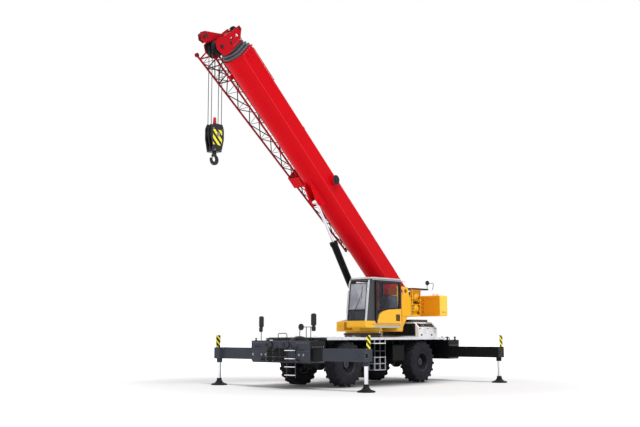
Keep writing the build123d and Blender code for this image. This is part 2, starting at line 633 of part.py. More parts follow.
# Slot in which the luffing cylinder lies when the boom is low
slot_half = CYL_BARREL_R + 20
table -= box((0, NOSE_X - 110), (-slot_half, slot_half), (TABLE_BOTTOM_Z - 1, table_top + 1))
cheek = [(NOSE_X, 2180), (150, 2300), (-500, 2500), (-1050, 3000),
         (-1300, FOOT_Z + 130), (-1450, FOOT_Z + 180), (-2050, FOOT_Z + 160), (-2120, 3250),
         (-2300, 2950), (-2300, 2420), (-2050, 2420), (-1750, 2050), (-1700, TABLE_BOTTOM_Z),
         (NOSE_X, TABLE_BOTTOM_Z)]
for s in (1, -1):
    table = table.fuse(plate_y(cheek, (s * PLATE_INNER_Y, s * plate_outer)))
# Nose boxes beside the cylinder's way, a rear bulkhead and the ears of the luffing cylinder
for s in (1, -1):
    nose = plate_y([(NOSE_X, table_top - 5), (NOSE_X, 2170), (NOSE_X - 600, 2270),
                    (NOSE_X - 600, table_top - 5)],
                   (s * (slot_half + 40), s * (PLATE_INNER_Y + 5)))
    nose -= plate_y([(NOSE_X + 1, 2035), (NOSE_X + 1, 2045), (NOSE_X - 12, 2045), (NOSE_X - 12, 2035)],
                    (s * slot_half, s * (PLATE_INNER_Y + 5)))
    table = table.fuse(nose)
bulkhead = box((-1700, -1660), (-PLATE_INNER_Y - 5, PLATE_INNER_Y + 5), (TABLE_BOTTOM_Z, 2700))
table = table.fuse(bulkhead)
for s in (1, -1):
    ear = plate_y([(-620, table_top - 5), (-560, 2250), (-300, 2400), (-60, 2400), (60, 2200), (60, 2100),
                   (-380, table_top - 5)],
                  (s * (CYL_FOOT_HALF + MOVE_GAP), s * (CYL_FOOT_HALF + MOVE_GAP + 50)))
    ear_web = box((-620, -540), (s * (CYL_FOOT_HALF + MOVE_GAP + 20), s * (PLATE_INNER_Y + 5)),
                  (table_top - 5, 2200))
    table = table.fuse(ear, ear_web)
table -= Pos(FOOT_X, 0, FOOT_Z) * Rot(90, 0, 0) * Cylinder(FOOT_PIN_R + FIT_GAP, 3 * plate_outer)
# Cab carrier brackets under the cab's floor
for x in (-250, NOSE_X - 100):
    table = table.fuse(box((x - 60, x + 60), (PLATE_INNER_Y + 10, CAB_OUTER_Y - 80),
                           (TABLE_BOTTOM_Z + 10, CAB_BOTTOM_Z)))
write("turntable", table)

# Hydraulic tank on the right of the turntable
TANK_X = (-1650.0, -620.0)
tank = box(TANK_X, (-plate_outer, -1250), (CAB_BOTTOM_Z, 2620))
tank = fillet(tank.edges().filter_by(Axis.X), 50)
tank_feet = [box((x - 60, x + 60), (-plate_outer, -1150), (table_top, CAB_BOTTOM_Z + 60))
             for x in (TANK_X[0] + 150, TANK_X[1] - 140)]
write("hydraulic_tank", fused([tank, *tank_feet]))

# ---------------------------------------------------------------- cab
roof_x = CAB_FRONT_X - CAB_RAKE
sill_z = CAB_SKIRT_Z
cab_side = [(CAB_REAR_X, CAB_BOTTOM_Z), (CAB_FRONT_X - 40, CAB_BOTTOM_Z), (CAB_FRONT_X, CAB_BOTTOM_Z + 60),
            (CAB_FRONT_X, sill_z), (roof_x + 90, CAB_TOP_Z - 210), (roof_x, CAB_TOP_Z - 40),
            (roof_x - 90, CAB_TOP_Z), (CAB_REAR_X + 60, CAB_TOP_Z), (CAB_REAR_X, CAB_TOP_Z - 60)]
cab_in = [(CAB_REAR_X + CAB_WALL, CAB_BOTTOM_Z + 60), (CAB_FRONT_X - CAB_WALL, CAB_BOTTOM_Z + 60),
          (CAB_FRONT_X - CAB_WALL, sill_z), (roof_x + 90 - CAB_WALL, CAB_TOP_Z - 225),
          (roof_x - CAB_WALL, CAB_TOP_Z - 80), (roof_x - 110, CAB_TOP_Z - CAB_WALL),
          (CAB_REAR_X + 90, CAB_TOP_Z - CAB_WALL), (CAB_REAR_X + CAB_WALL, CAB_TOP_Z - 90)]
full = plate_y(cab_side, (CAB_INNER_Y, CAB_OUTER_Y))
corner = [e for e in full.edges().filter_by(Axis.Z) if e.center().X > 1500]
full = fillet(corner, 60)
full -= plate_y(cab_in, (CAB_INNER_Y + CAB_WALL, CAB_OUTER_Y - CAB_WALL))
DOOR_X = (-320.0, 1120.0)
DOOR_Z = (2130.0, 3590.0)
# Window and door openings
full -= box((DOOR_X[0] + 40, DOOR_X[1] - 40), (CAB_OUTER_Y - CAB_WALL - 1, CAB_OUTER_Y + 1),
            (DOOR_Z[0] + 40, DOOR_Z[1] - 40))
side_window = plate_y([(-250, 2620), (1330, 2420), (1200, 3400), (1100, 3560), (-250, 3560)],
                      (CAB_INNER_Y - 1, CAB_INNER_Y + CAB_WALL + 1))
full -= side_window
pillar = 75.0
screen_gap = box((1100, CAB_FRONT_X + 5), (CAB_INNER_Y + pillar, CAB_OUTER_Y - pillar), (sill_z + 30, 3560))
full -= screen_gap
rear_gap = box((CAB_REAR_X - 1, CAB_REAR_X + CAB_WALL + 1),
               (CAB_INNER_Y + 110, CAB_OUTER_Y - 110), (2750, 3520))
full -= rear_gap
roof_gap = box((300, 1050), (CAB_INNER_Y + 130, CAB_OUTER_Y - 130),
               (CAB_TOP_Z - CAB_WALL - 1, CAB_TOP_Z + 1))
full -= roof_gap
lower_part = plate_y([(CAB_REAR_X - 5, CAB_BOTTOM_Z - 5), (CAB_FRONT_X + 5, CAB_BOTTOM_Z - 5),
                      (CAB_FRONT_X + 5, sill_z), (CAB_REAR_X - 5, sill_z)],
                     (CAB_INNER_Y - 5, CAB_OUTER_Y + 5))
cab_body = full & lower_part
cab_frame = full - lower_part
write("cab_body", cab_body)
write("cab_frame", cab_frame)

# Panes, seated in their openings
slope = atan2((roof_x + 90) - CAB_FRONT_X, CAB_TOP_Z - 210 - sill_z)


def screen_line(z, back):
    """X on the raked front at a height, set back from the outer face."""
    share = (z - sill_z) / (CAB_TOP_Z - 210 - sill_z)
    return CAB_FRONT_X + share * (roof_x + 90 - CAB_FRONT_X) - back


pane_z = (sill_z + 30 + FIT_GAP, 3480 - FIT_GAP)
windscreen = plate_y([(screen_line(pane_z[0], 24), pane_z[0]), (screen_line(pane_z[0], 16), pane_z[0]),
                      (screen_line(pane_z[1], 16), pane_z[1]), (screen_line(pane_z[1], 24), pane_z[1])],
                     (CAB_INNER_Y + pillar + FIT_GAP, CAB_OUTER_Y - pillar - FIT_GAP))
side_pane = plate_y([(-250 + 1, 2620 + 1), (1330 - 1, 2420 + 1), (1200 - 1, 3400 - 1), (1100 - 1, 3560 - 1),
                     (-250 + 1, 3560 - 1)], (CAB_INNER_Y + 20, CAB_INNER_Y + 20 + GLASS_THICK))
rear_pane = box((CAB_REAR_X + 20, CAB_REAR_X + 20 + GLASS_THICK),
                (CAB_INNER_Y + 110 + FIT_GAP, CAB_OUTER_Y - 110 - FIT_GAP),
                (2750 + FIT_GAP, 3520 - FIT_GAP))
roof_pane = box((300 + FIT_GAP, 1050 - FIT_GAP), (CAB_INNER_Y + 130 + FIT_GAP, CAB_OUTER_Y - 130 - FIT_GAP),
                (CAB_TOP_Z - 30, CAB_TOP_Z - 30 + GLASS_THICK))
write("cab_glass", windscreen, side_pane, rear_pane, roof_pane)

# Seat, console and joystick pods
floor_z = CAB_BOTTOM_Z + 60
seat_y = (CAB_INNER_Y + CAB_OUTER_Y) / 2
seat = [box((80, 520), (seat_y - 160, seat_y + 160), (floor_z, floor_z + 300)),
        box((20, 600), (seat_y - 240, seat_y + 240), (floor_z + 290, floor_z + 420)),
        plate_y([(20, floor_z + 400), (150, floor_z + 400), (40, floor_z + 1080), (-60, floor_z + 1080)],
                (seat_y - 230, seat_y + 230)),
        box((100, 620), (seat_y - 330, seat_y - 250), (floor_z + 290, floor_z + 600)),
        box((100, 620), (seat_y + 250, seat_y + 330), (floor_z + 290, floor_z + 600)),
        box((100, 300), (seat_y - 330, seat_y + 330), (floor_z + 290, floor_z + 340))]
column_foot, column_top = Vector(1240, seat_y, floor_z + 40), Vector(1060, seat_y, floor_z + 700)
column = fused([pipe(tuple(column_foot), tuple(column_top), 45),
                box((1130, 1330), (seat_y - 160, seat_y + 160), (floor_z, floor_z + 90))])
column_axis = (column_top - column_foot).normalized()
wheel_centre = column_top + column_axis * (12 + FIT_GAP)
wheel_seat = Pos(*wheel_centre) * Rot(0, degrees(atan2(column_axis.X, column_axis.Z)), 0)
wheel_ring = wheel_seat * (Cylinder(195, 26) - Cylinder(163, 27))
wheel_hub = wheel_seat * Box(340, 44, 24)
write("cab_seat", fused(seat), fused([column, wheel_ring, wheel_hub]))

# Sliding door outside the cab's left wall
door_y = (CAB_OUTER_Y + FIT_GAP, CAB_OUTER_Y + FIT_GAP + DOOR_THICK)
door = box(DOOR_X, door_y, DOOR_Z)
door = fillet(door.edges().filter_by(Axis.Y), 60)
DOOR_SILL = [(DOOR_X[0] + 70, 2650), (430, 2610), (760, 2540), (930, 2440), (1000, 2310),
             (DOOR_X[1] - 70, 2230)]


def door_opening(inset):
    """Window outline over the panel's curved upper edge, smaller by an inset."""
    rear, fore, top = DOOR_X[0] + 70 + inset, DOOR_X[1] - 70 - inset, DOOR_Z[1] - 70 - inset
    low = [(min(max(x, rear), fore), z + 3 * inset) for x, z in DOOR_SILL]
    return [*low, (fore, top), (rear, top)]


window = plate_y(door_opening(0), (door_y[0] - 1, door_y[1] + 1))
door -= window
write("cab_door", door)
door_pane = plate_y(door_opening(FIT_GAP), (door_y[0] + 16, door_y[0] + 24))
write("door_glass", door_pane)

# ---------------------------------------------------------------- counterweight and winches
tail = [(CW_FRONT_X, -CW_HALF_WIDTH), (CW_REAR_X + CW_CORNER_X, -CW_HALF_WIDTH),
        (CW_REAR_X, -CW_HALF_WIDTH + CW_CORNER_Y), (CW_REAR_X, CW_HALF_WIDTH - CW_CORNER_Y),
        (CW_REAR_X + CW_CORNER_X, CW_HALF_WIDTH), (CW_FRONT_X, CW_HALF_WIDTH)]
weight = plate_z(tail, (CW_BOTTOM_Z + 40, CW_TOP_Z))
weight = chamfer(weight.faces().sort_by(Axis.Z)[-1].edges(), 30)
slab = plate_z([(x + (8 if x < CW_FRONT_X else 0), y * 0.994) for x, y in tail],
               (CW_BOTTOM_Z, CW_BOTTOM_Z + 40))
write("counterweight", weight.fuse(slab))

frame_y = PLATE_INNER_Y
rail = [(-2300, 2420), (CW_FRONT_X, 2420), (CW_FRONT_X, WINCH_ROOF_Z - 260),
        (CW_FRONT_X - 40, WINCH_ROOF_Z - 200), (CW_FRONT_X - 40, WINCH_ROOF_Z - 40),
        (-2300, WINCH_ROOF_Z - 40)]
winch_sides = []
MAIN_WINCH = (-2620.0, 2720.0)
AUX_WINCH = (-2620.0, 3180.0)
WINCH_WINDOWS = [  # behind, between and ahead of the bearings: limits in X, limits in Z
    ((CW_FRONT_X + 50, MAIN_WINCH[0] - 100), (2500, 3220)),
    ((CW_FRONT_X + 50, -2360), (MAIN_WINCH[1] + 110, AUX_WINCH[1] - 110)),
    ((MAIN_WINCH[0] + 100, -2360), (2500, 3220)),
]
for s in (1, -1):
    cheek_plate = plate_y(rail, (s * (frame_y - 30), s * frame_y))
    for wx, wz in (MAIN_WINCH, AUX_WINCH):
        cheek_plate -= Pos(wx, s * frame_y, wz) * Rot(90, 0, 0) * Cylinder(50 + FIT_GAP, 200)
    for window_x, window_z in WINCH_WINDOWS:
        cheek_plate -= box(window_x, (s * (frame_y - 40), s * (frame_y + 10)), window_z)
    winch_sides.append(cheek_plate)
roof = box((-3280, -2250), (-560, 620), (WINCH_ROOF_Z - 40, WINCH_ROOF_Z))
lugs_back = [box((-2340, -2290), (s * (PLATE_INNER_Y - 40), s * PLATE_INNER_Y), (2450, 2900))
             for s in (1, -1)]
tray = box((CW_FRONT_X, -2300), (-frame_y + 20, frame_y - 20), (2420, 2450))
write("winch_frame", fused([*winch_sides, roof, tray, *lugs_back]))

for name, (wx, wz) in (("main_winch", MAIN_WINCH), ("aux_winch", AUX_WINCH)):
    half = frame_y - 30 - MOVE_GAP
    drum = turned([(0, -frame_y), (50, -frame_y), (50, -half), (WINCH_FLANGE_R, -half),
                   (WINCH_FLANGE_R, -half + 20), (WINCH_DRUM_R, -half + 20), (WINCH_DRUM_R, half - 20),
                   (WINCH_FLANGE_R, half - 20), (WINCH_FLANGE_R, half), (50, half), (50, frame_y),
                   (0, frame_y)])
    write(name, Pos(wx, 0, wz) * drum)

# ---------------------------------------------------------------- boom
BOOM = Pos(FOOT_X, 0, FOOT_Z) * Rot(0, -LUFF_DEG, 0)


def boom_face(inset):
    """Section outline: flat top and webs over a round belly, smaller by an inset."""
    half, top, r = BOOM_HALF_WIDTH - inset, BOOM_TOP_W - inset, BOOM_BELLY_R - inset
    ridge = BOOM_BELLY_W - sqrt(r * r - half * half)
    lines = Polyline((-half, ridge), (-half, top), (half, top), (half, ridge))
    belly = ThreePointArc((half, ridge), (0, BOOM_BELLY_W - r), (-half, ridge))
    return make_face([*lines.edges(), *belly.edges()])


def section(inset, start, end):
    """Solid length of a section outline along the boom."""
    plane = Plane(origin=(start, 0, 0), x_dir=(0, 1, 0), z_dir=(1, 0, 0))
    return extrude(plane * boom_face(inset), end - start)


def ring_of(outer, inner, start, end):
    """Ring between two insets."""
    return section(outer, start, end) - section(inner, start - 1, end + 1)


def boom_tube(index, start, end):
    """Tube of one section, its head collar with wear ring, and its tail guide ring."""
    inset = index * SECTION_STEP
    body = ring_of(inset, inset + BOOM_WALL, start, end)
    collar = ring_of(inset - (22 if index == 0 else 30), inset + BOOM_WALL / 2, end - COLLAR_LENGTH, end)
    wear = ring_of(inset + BOOM_WALL / 2, inset + SECTION_STEP - FIT_GAP, end - 60, end)
    pieces = [body, collar]
    if index < 3:
        pieces.append(wear)
    if index > 0:
        pieces.append(ring_of(inset - SECTION_STEP + BOOM_WALL + FIT_GAP, inset + BOOM_WALL / 2,
                              start, start + 80))
    # Rope guide finger on the head's top
    finger_w = BOOM_TOP_W - inset
    for y in ((-220, -110, 0, 110, 220) if index == 0 else (-110, 110)):
        pieces.append(box((end - 60, end - 20), (y - 12, y + 12), (finger_w, finger_w + 105)))
    return fused(pieces)


base_tube = boom_tube(0, BOOM_TAIL_U, BASE_END_U)
foot_tube = Rot(90, 0, 0) * Cylinder(FOOT_PIN_R, 2 * plate_outer + 40)
foot_collar = Rot(90, 0, 0) * Cylinder(FOOT_PIN_R + 70, 2 * (PLATE_INNER_Y - MOVE_GAP))
inner_void = section(BOOM_WALL / 2, 350, BASE_END_U)
tail_wall = section(BOOM_WALL / 2, BOOM_TAIL_U, BOOM_TAIL_U + 30)
foot_parts = [foot_tube, foot_collar - inner_void, tail_wall]
# Bracket of the luffing cylinder's eye: two cheeks under the belly
bracket = [(EYE_U - 380, -330), (EYE_U + 900, -330), (EYE_U + 560, -540), (EYE_U + 150, EYE_W - 125),
           (EYE_U - 130, EYE_W - 125), (EYE_U - 240, -500)]
cheeks = []
rod_eye_half = 110.0
for s in (1, -1):
    part = plate_y(bracket, (s * (rod_eye_half + MOVE_GAP), s * (rod_eye_half + MOVE_GAP + 60)))
    part -= section(BOOM_WALL / 2, EYE_U - 1000, EYE_U + 1500)
    cheeks.append(part)
eye_pin = Pos(EYE_U, 0, EYE_W) * Rot(90, 0, 0) * Cylinder(60, 2 * (rod_eye_half + MOVE_GAP + 60))
reel = Pos(5230, BOOM_HALF_WIDTH + 60, 270) * Rot(90, 0, 0) * Cylinder(165, 122)
rest = box((900, 1000), (-150, 150), (BOOM_TOP_W - 5, BOOM_TOP_W + 90))
rail_parts = [pipe((9400, 370, BOOM_TOP_W + 70), (10700, 370, BOOM_TOP_W + 70), 12),
              *[box((u - 14, u + 14), (358, 382), (BOOM_TOP_W - 5, BOOM_TOP_W + 72))
                for u in (9430, 10050, 10670)]]


def jib_place(corner, u):
    """Y and W of one chord's axis at a place along the boom."""
    share = (JIB_FOOT_U - u) / (JIB_FOOT_U - JIB_TIP_U)
    foot_y, foot_w, tip_y, tip_w = JIB_CORNERS[corner]
    return foot_y + (tip_y - foot_y) * share, foot_w + (tip_w - foot_w) * share


# Jib carriers on the right web: each reaches out to the jib's two inner chords
carriers = []
chord_half = JIB_CHORD / 2
for u in (JIB_SADDLE_U, JIB_STOP_U):
    inner_y, low = jib_place(0, u)
    high = jib_place(3, u)[1]
    reach = inner_y + chord_half + FIT_GAP + 0.4
    carrier = [(-BOOM_HALF_WIDTH + 5, min(high, BOOM_TOP_W - 60)), (reach, min(high, BOOM_TOP_W - 60)),
               (reach, low - chord_half), (reach + 30, low - chord_half), (-BOOM_HALF_WIDTH + 5, -140)]
    carriers.append(plate_x(carrier, (u - 60, u + 60)))
# Saddle that wraps round the jib's lower half, and the eye bracket ahead of its upper stop
outer_y, low = jib_place(1, JIB_SADDLE_U)
high = jib_place(2, JIB_SADDLE_U)[1]
saddle_out, saddle_low = outer_y - chord_half - 60, low - chord_half - 60
saddle = [(-BOOM_HALF_WIDTH + 5, -120), (-BOOM_HALF_WIDTH - 20, saddle_low), (saddle_out + 40, saddle_low),
          (saddle_out, saddle_low + 40), (saddle_out, high), (saddle_out + 18, high),
          (saddle_out + 18, saddle_low + 48), (saddle_out + 48, saddle_low + 18),
          (-BOOM_HALF_WIDTH - 38, saddle_low + 18), (-BOOM_HALF_WIDTH - 20, -120)]
carriers.append(plate_x(saddle, (JIB_SADDLE_U - 200, JIB_SADDLE_U + 240)))
stop_eye = plate_y([(JIB_STOP_U + 40, -120), (JIB_STOP_U + 260, -120), (JIB_STOP_U + 330, -60),
                    (JIB_STOP_U + 260, 10), (JIB_STOP_U + 40, 60)],
                   (-BOOM_HALF_WIDTH + 5, -BOOM_HALF_WIDTH - 35))
carriers.append(stop_eye)
boom_base = fused([base_tube, *foot_parts, *cheeks, eye_pin, reel, rest, *rail_parts])
boom_base = boom_base.fuse(*carriers)
write("boom_base", BOOM * boom_base)

for index in (1, 2):
    tail_u = index * SECTION_TAIL_STEP + 300
    write(f"boom_section_{index + 1}", BOOM * boom_tube(index, tail_u, BASE_END_U + index * HEAD_STEP))

# Last section carries the head: two cheek plates, cross tubes and the sheave nests
inset = 3 * SECTION_STEP
head_half = BOOM_HALF_WIDTH - inset
last = boom_tube(3, 3 * SECTION_TAIL_STEP + 300, BASE_END_U + 3 * HEAD_STEP)
head_line = [(HEAD_START_U - 45, BOOM_TOP_W - inset), (HEAD_START_U + 55, BOOM_TOP_W - inset + 10),
             (SHEAVE_U - 150, GUIDE_W - 20), (SHEAVE_U - 100, GUIDE_W + 60), (SHEAVE_U + 40, GUIDE_W + 60),
             (SHEAVE_U + 130, -120), (SHEAVE_U + 270, SHEAVE_W + 60), (SHEAVE_U + 250, SHEAVE_W - 110),
             (SHEAVE_U + 60, SHEAVE_W - 220), (SHEAVE_U - 190, SHEAVE_W - 170),
             (SHEAVE_U - 310, SHEAVE_W - 60), (HEAD_START_U - 45, -260)]
plates = [plate_y(head_line, (s * head_half, s * (head_half - 28))) for s in (1, -1)]
for plate_index in (0, 1):
    for hu, hw, hr in ((SHEAVE_U - 140, 250, 70), (SHEAVE_U - 60, -20, 60)):
        plates[plate_index] -= Pos(hu, 0, hw) * Rot(90, 0, 0) * Cylinder(hr, 4 * head_half)
cross = [box((HEAD_START_U - 100, SHEAVE_U - 170), (-head_half + 5, head_half - 5), (250, 280)),
         Pos(SHEAVE_U - 150, 0, -130) * Rot(90, 0, 0) * Cylinder(45, 2 * head_half - 10),
         Pos(GUIDE_U, 0, GUIDE_W) * Rot(90, 0, 0) * Cylinder(GUIDE_PIN_R, 2 * head_half - 10),
         box((SHEAVE_U - 200, SHEAVE_U - 170), (-head_half + 5, head_half - 5), (60, 280))]
pin = Pos(SHEAVE_U, 0, SHEAVE_W) * Rot(90, 0, 0) * Cylinder(40, 2 * head_half + 30)
# Single-line sheave bracket at the nose of the head
ROOSTER = (SHEAVE_U + 560, SHEAVE_W - 210)
arm_line = [(SHEAVE_U + 50, 20), (SHEAVE_U + 160, -20), (ROOSTER[0] + 120, ROOSTER[1] + 150),
            (ROOSTER[0] + 140, ROOSTER[1] - 50), (ROOSTER[0], ROOSTER[1] - 150),
            (ROOSTER[0] - 170, ROOSTER[1] - 80), (SHEAVE_U + 275, SHEAVE_W + 30), (SHEAVE_U + 100, -180)]
arms = [plate_y(arm_line, (s * 52, s * 72)) for s in (1, -1)]
arm_root = box((SHEAVE_U + 40, SHEAVE_U + 130), (-head_half + 5, head_half - 5), (-150, 60))
rooster_pin = Pos(ROOSTER[0], 0, ROOSTER[1]) * Rot(90, 0, 0) * Cylinder(28, 160)
last = fused([last, *plates, *cross, pin, *arms, arm_root, rooster_pin])
write("boom_section_4", BOOM * last)


def sheave(radius, groove_r, width, bore):
    """Grooved sheave about Y."""
    half = width / 2
    return turned([(bore, -half), (radius, -half), (groove_r, -ROPE_R - 3), (groove_r, ROPE_R + 3),
                   (radius, half), (bore, half)])


groove = SHEAVE_PITCH_R - ROPE_R - FIT_GAP
rim_r = SHEAVE_PITCH_R + 22
head_sheaves = [Pos(SHEAVE_U, y, SHEAVE_W) * sheave(rim_r, groove, 64, 40 + FIT_GAP)
                for y in (-FALL_Y - HEAD_SHEAVE_STEP, -FALL_Y, FALL_Y, FALL_Y + HEAD_SHEAVE_STEP)]
rooster_sheave = Pos(ROOSTER[0], 0, ROOSTER[1]) * sheave(130, 110, 64, 28 + FIT_GAP)
guide_sheave = Pos(GUIDE_U, 0, GUIDE_W) * sheave(120, 100, 64, GUIDE_PIN_R + FIT_GAP)
write("head_sheaves", *[BOOM * s for s in [*head_sheaves, rooster_sheave, guide_sheave]])

# ---------------------------------------------------------------- stowed jib

def jib_point(corner, share):
    """Point on one chord, from the foot at share 0 to the tip at share 1."""
    fy, fw, ty, tw = JIB_CORNERS[corner]
    u = JIB_FOOT_U + (JIB_TIP_U - JIB_FOOT_U) * share
    return (u, fy + (ty - fy) * share, fw + (tw - fw) * share)


jib_bars = []
for corner in range(4):
    jib_bars.append(bar(jib_point(corner, 0), jib_point(corner, 1), JIB_CHORD))
    after = (corner + 1) % 4
    for share in (0.012, 0.988):
        jib_bars.append(bar(jib_point(corner, share), jib_point(after, share), JIB_CHORD - 10))
    for i in range(JIB_BAYS):
        ends = (corner, after) if i % 2 else (after, corner)
        step = 0.94 / JIB_BAYS
        jib_bars.append(bar(jib_point(ends[0], 0.03 + i * step), jib_point(ends[1], 0.03 + (i + 1) * step),
                            JIB_LACE))
for corner in (0, 1):
    u, y, w = jib_point(corner, 0)
    jib_bars.append(Pos(u + 60, y, w) * Rot(90, 0, 0) * Cylinder(70, 70))
jib = fused(jib_bars)
for corner in (0, 1):
    u, y, w = jib_point(corner, 0)
    jib -= Pos(u + 60, y, w) * Rot(90, 0, 0) * Cylinder(30, 200)
write("jib", BOOM * jib)

# ---------------------------------------------------------------- luffing cylinder
eye_x = FOOT_X + EYE_U * cos(radians(LUFF_DEG)) - EYE_W * sin(radians(LUFF_DEG))
eye_z = FOOT_Z + EYE_U * sin(radians(LUFF_DEG)) + EYE_W * cos(radians(LUFF_DEG))
cyl_length = hypot(eye_x - CYL_FOOT_X, eye_z - CYL_FOOT_Z)
cyl_deg = degrees(atan2(eye_z - CYL_FOOT_Z, eye_x - CYL_FOOT_X))
CYLINDER = Pos(CYL_FOOT_X, 0, CYL_FOOT_Z) * Rot(0, -cyl_deg, 0)
barrel_start = 90.0
barrel_end = barrel_start + CYL_BARREL_LENGTH
barrel = pipe((barrel_start, 0, 0), (barrel_end, 0, 0), CYL_BARREL_R)
collar = pipe((barrel_end - 120, 0, 0), (barrel_end, 0, 0), CYL_BARREL_R + 18)
foot_eye = Rot(90, 0, 0) * Cylinder(130, 2 * CYL_FOOT_HALF)
foot_pin = Rot(90, 0, 0) * Cylinder(70, 2 * CYL_FOOT_HALF + 6)
barrel = fused([barrel, collar, foot_eye, foot_pin])
barrel -= pipe((barrel_start + 120, 0, 0), (barrel_end - 80, 0, 0), CYL_BORE_R)
barrel -= pipe((barrel_end - 81, 0, 0), (barrel_end + 1, 0, 0), CYL_ROD_R + FIT_GAP)
write("luff_barrel", CYLINDER * barrel)
rod_start = barrel_end - 640
rod = pipe((rod_start, 0, 0), (cyl_length - 60, 0, 0), CYL_ROD_R)
piston = pipe((rod_start - 60, 0, 0), (rod_start + 30, 0, 0), CYL_BORE_R - FIT_GAP)
rod_eye = Pos(cyl_length, 0, 0) * Rot(90, 0, 0) * Cylinder(115, 2 * rod_eye_half)
rod = fused([rod, piston, rod_eye])
rod -= Pos(cyl_length, 0, 0) * Rot(90, 0, 0) * Cylinder(60 + FIT_GAP, 4 * rod_eye_half)
write("luff_rod", CYLINDER * rod)

# ---------------------------------------------------------------- hoist falls, block and hook
axis_x = FOOT_X + SHEAVE_U * cos(radians(LUFF_DEG)) - SHEAVE_W * sin(radians(LUFF_DEG))
axis_z = FOOT_Z + SHEAVE_U * sin(radians(LUFF_DEG)) + SHEAVE_W * cos(radians(LUFF_DEG))
block_axis_z = BLOCK_TOP_Z - 330
falls = []
for x in (-SHEAVE_PITCH_R, SHEAVE_PITCH_R):
    for y in (-FALL_Y, FALL_Y):
        falls.append(pipe((axis_x + x, y, block_axis_z), (axis_x + x, y, axis_z), ROPE_R))
write("hoist_ropes", *falls)

mid_z = (BLOCK_TOP_Z + BLOCK_BOTTOM_Z) / 2
L = BLOCK_HALF_LENGTH
cheek_line = [(-L * 0.62, BLOCK_BOTTOM_Z), (L * 0.62, BLOCK_BOTTOM_Z), (L, mid_z - 40),
              (L, BLOCK_TOP_Z - 150),
              (L * 0.72, BLOCK_TOP_Z), (-L * 0.72, BLOCK_TOP_Z), (-L, BLOCK_TOP_Z - 150), (-L, mid_z - 40)]
block = [plate_y(cheek_line, (s * BLOCK_HALF_WIDTH, s * (BLOCK_HALF_WIDTH - 45))) for s in (1, -1)]
block.append(plate_y(cheek_line, (-14, 14)))
block.append(box((-L * 0.6, L * 0.6), (-BLOCK_HALF_WIDTH + 5, BLOCK_HALF_WIDTH - 5),
                 (BLOCK_BOTTOM_Z, BLOCK_BOTTOM_Z + 170)))
block.append(Pos(0, 0, block_axis_z) * Rot(90, 0, 0) * Cylinder(36, 2 * BLOCK_HALF_WIDTH + 20))
for y in (-FALL_Y, FALL_Y):
    block.append(Pos(0, y, block_axis_z) * sheave(SHEAVE_PITCH_R + 16, groove, 64, 34))
trip = plate_y([(-70, BLOCK_TOP_Z - 20), (70, BLOCK_TOP_Z - 20), (45, BLOCK_TOP_Z + 230),
                (-45, BLOCK_TOP_Z + 230)],
               (-14, 14))
block.append(trip)
block = fused(block)
shank_r = 46.0
block -= Pos(0, 0, BLOCK_BOTTOM_Z + 45) * Cylinder(shank_r + FIT_GAP, 92)
write("hook_block", Pos(axis_x, 0, 0) * block)

# Forged hook: thick bowl drawn out to the tip round an offset throat, with a round shank
bowl_z = BLOCK_BOTTOM_Z - 235
shank = Pos(0, 0, (bowl_z + HOOK_R + BLOCK_BOTTOM_Z + 85) / 2) * Cylinder(
    shank_r, BLOCK_BOTTOM_Z + 85 - bowl_z - HOOK_R)
collar_ring = Pos(0, 0, BLOCK_BOTTOM_Z - 30) * Cylinder(shank_r + 22, 40)
front = Plane(origin=(0, HOOK_BAR_R, 0), x_dir=(1, 0, 0), z_dir=(0, -1, 0))
bowl = extrude(front * Pos(0, bowl_z) * Circle(HOOK_R + HOOK_BAR_R), 2 * HOOK_BAR_R)
bowl = chamfer(bowl.edges().filter_by(GeomType.CIRCLE), HOOK_BAR_R * 0.45)
throat = Pos(14, 0, bowl_z + 22) * Rot(90, 0, 0) * Cylinder(HOOK_R * 0.72, 4 * HOOK_BAR_R)
mouth = plate_y([(HOOK_R * 2, bowl_z + 62), (60, bowl_z + 40), (70, bowl_z + 105),
                 (HOOK_R * 2, bowl_z + 220)],
                (-2 * HOOK_BAR_R, 2 * HOOK_BAR_R))
hook = fused([bowl - throat - mouth, shank, collar_ring])
write("hook", Pos(axis_x, 0, 0) * hook)
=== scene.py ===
import json
import math
import bmesh
import bpy
from mathutils import Matrix, Vector

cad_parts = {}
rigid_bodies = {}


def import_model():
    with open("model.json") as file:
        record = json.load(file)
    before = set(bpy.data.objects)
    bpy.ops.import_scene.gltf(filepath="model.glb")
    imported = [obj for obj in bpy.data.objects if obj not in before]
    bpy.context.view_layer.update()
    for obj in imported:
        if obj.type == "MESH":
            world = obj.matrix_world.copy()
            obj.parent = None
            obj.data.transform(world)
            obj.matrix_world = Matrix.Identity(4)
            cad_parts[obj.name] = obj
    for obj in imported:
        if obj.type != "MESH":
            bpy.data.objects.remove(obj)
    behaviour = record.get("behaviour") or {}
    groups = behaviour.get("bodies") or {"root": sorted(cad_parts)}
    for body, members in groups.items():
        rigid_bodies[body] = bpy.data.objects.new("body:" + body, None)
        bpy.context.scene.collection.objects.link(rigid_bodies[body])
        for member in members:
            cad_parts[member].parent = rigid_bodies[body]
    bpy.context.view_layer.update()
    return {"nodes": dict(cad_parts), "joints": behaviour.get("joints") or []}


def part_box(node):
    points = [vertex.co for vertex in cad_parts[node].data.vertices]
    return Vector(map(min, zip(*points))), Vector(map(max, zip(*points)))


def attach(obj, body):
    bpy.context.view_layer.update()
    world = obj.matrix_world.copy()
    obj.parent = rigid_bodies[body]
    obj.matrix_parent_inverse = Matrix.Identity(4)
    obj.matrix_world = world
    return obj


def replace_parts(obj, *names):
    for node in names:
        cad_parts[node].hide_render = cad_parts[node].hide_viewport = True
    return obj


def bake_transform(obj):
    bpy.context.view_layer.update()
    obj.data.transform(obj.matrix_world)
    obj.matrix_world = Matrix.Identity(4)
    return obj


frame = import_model()

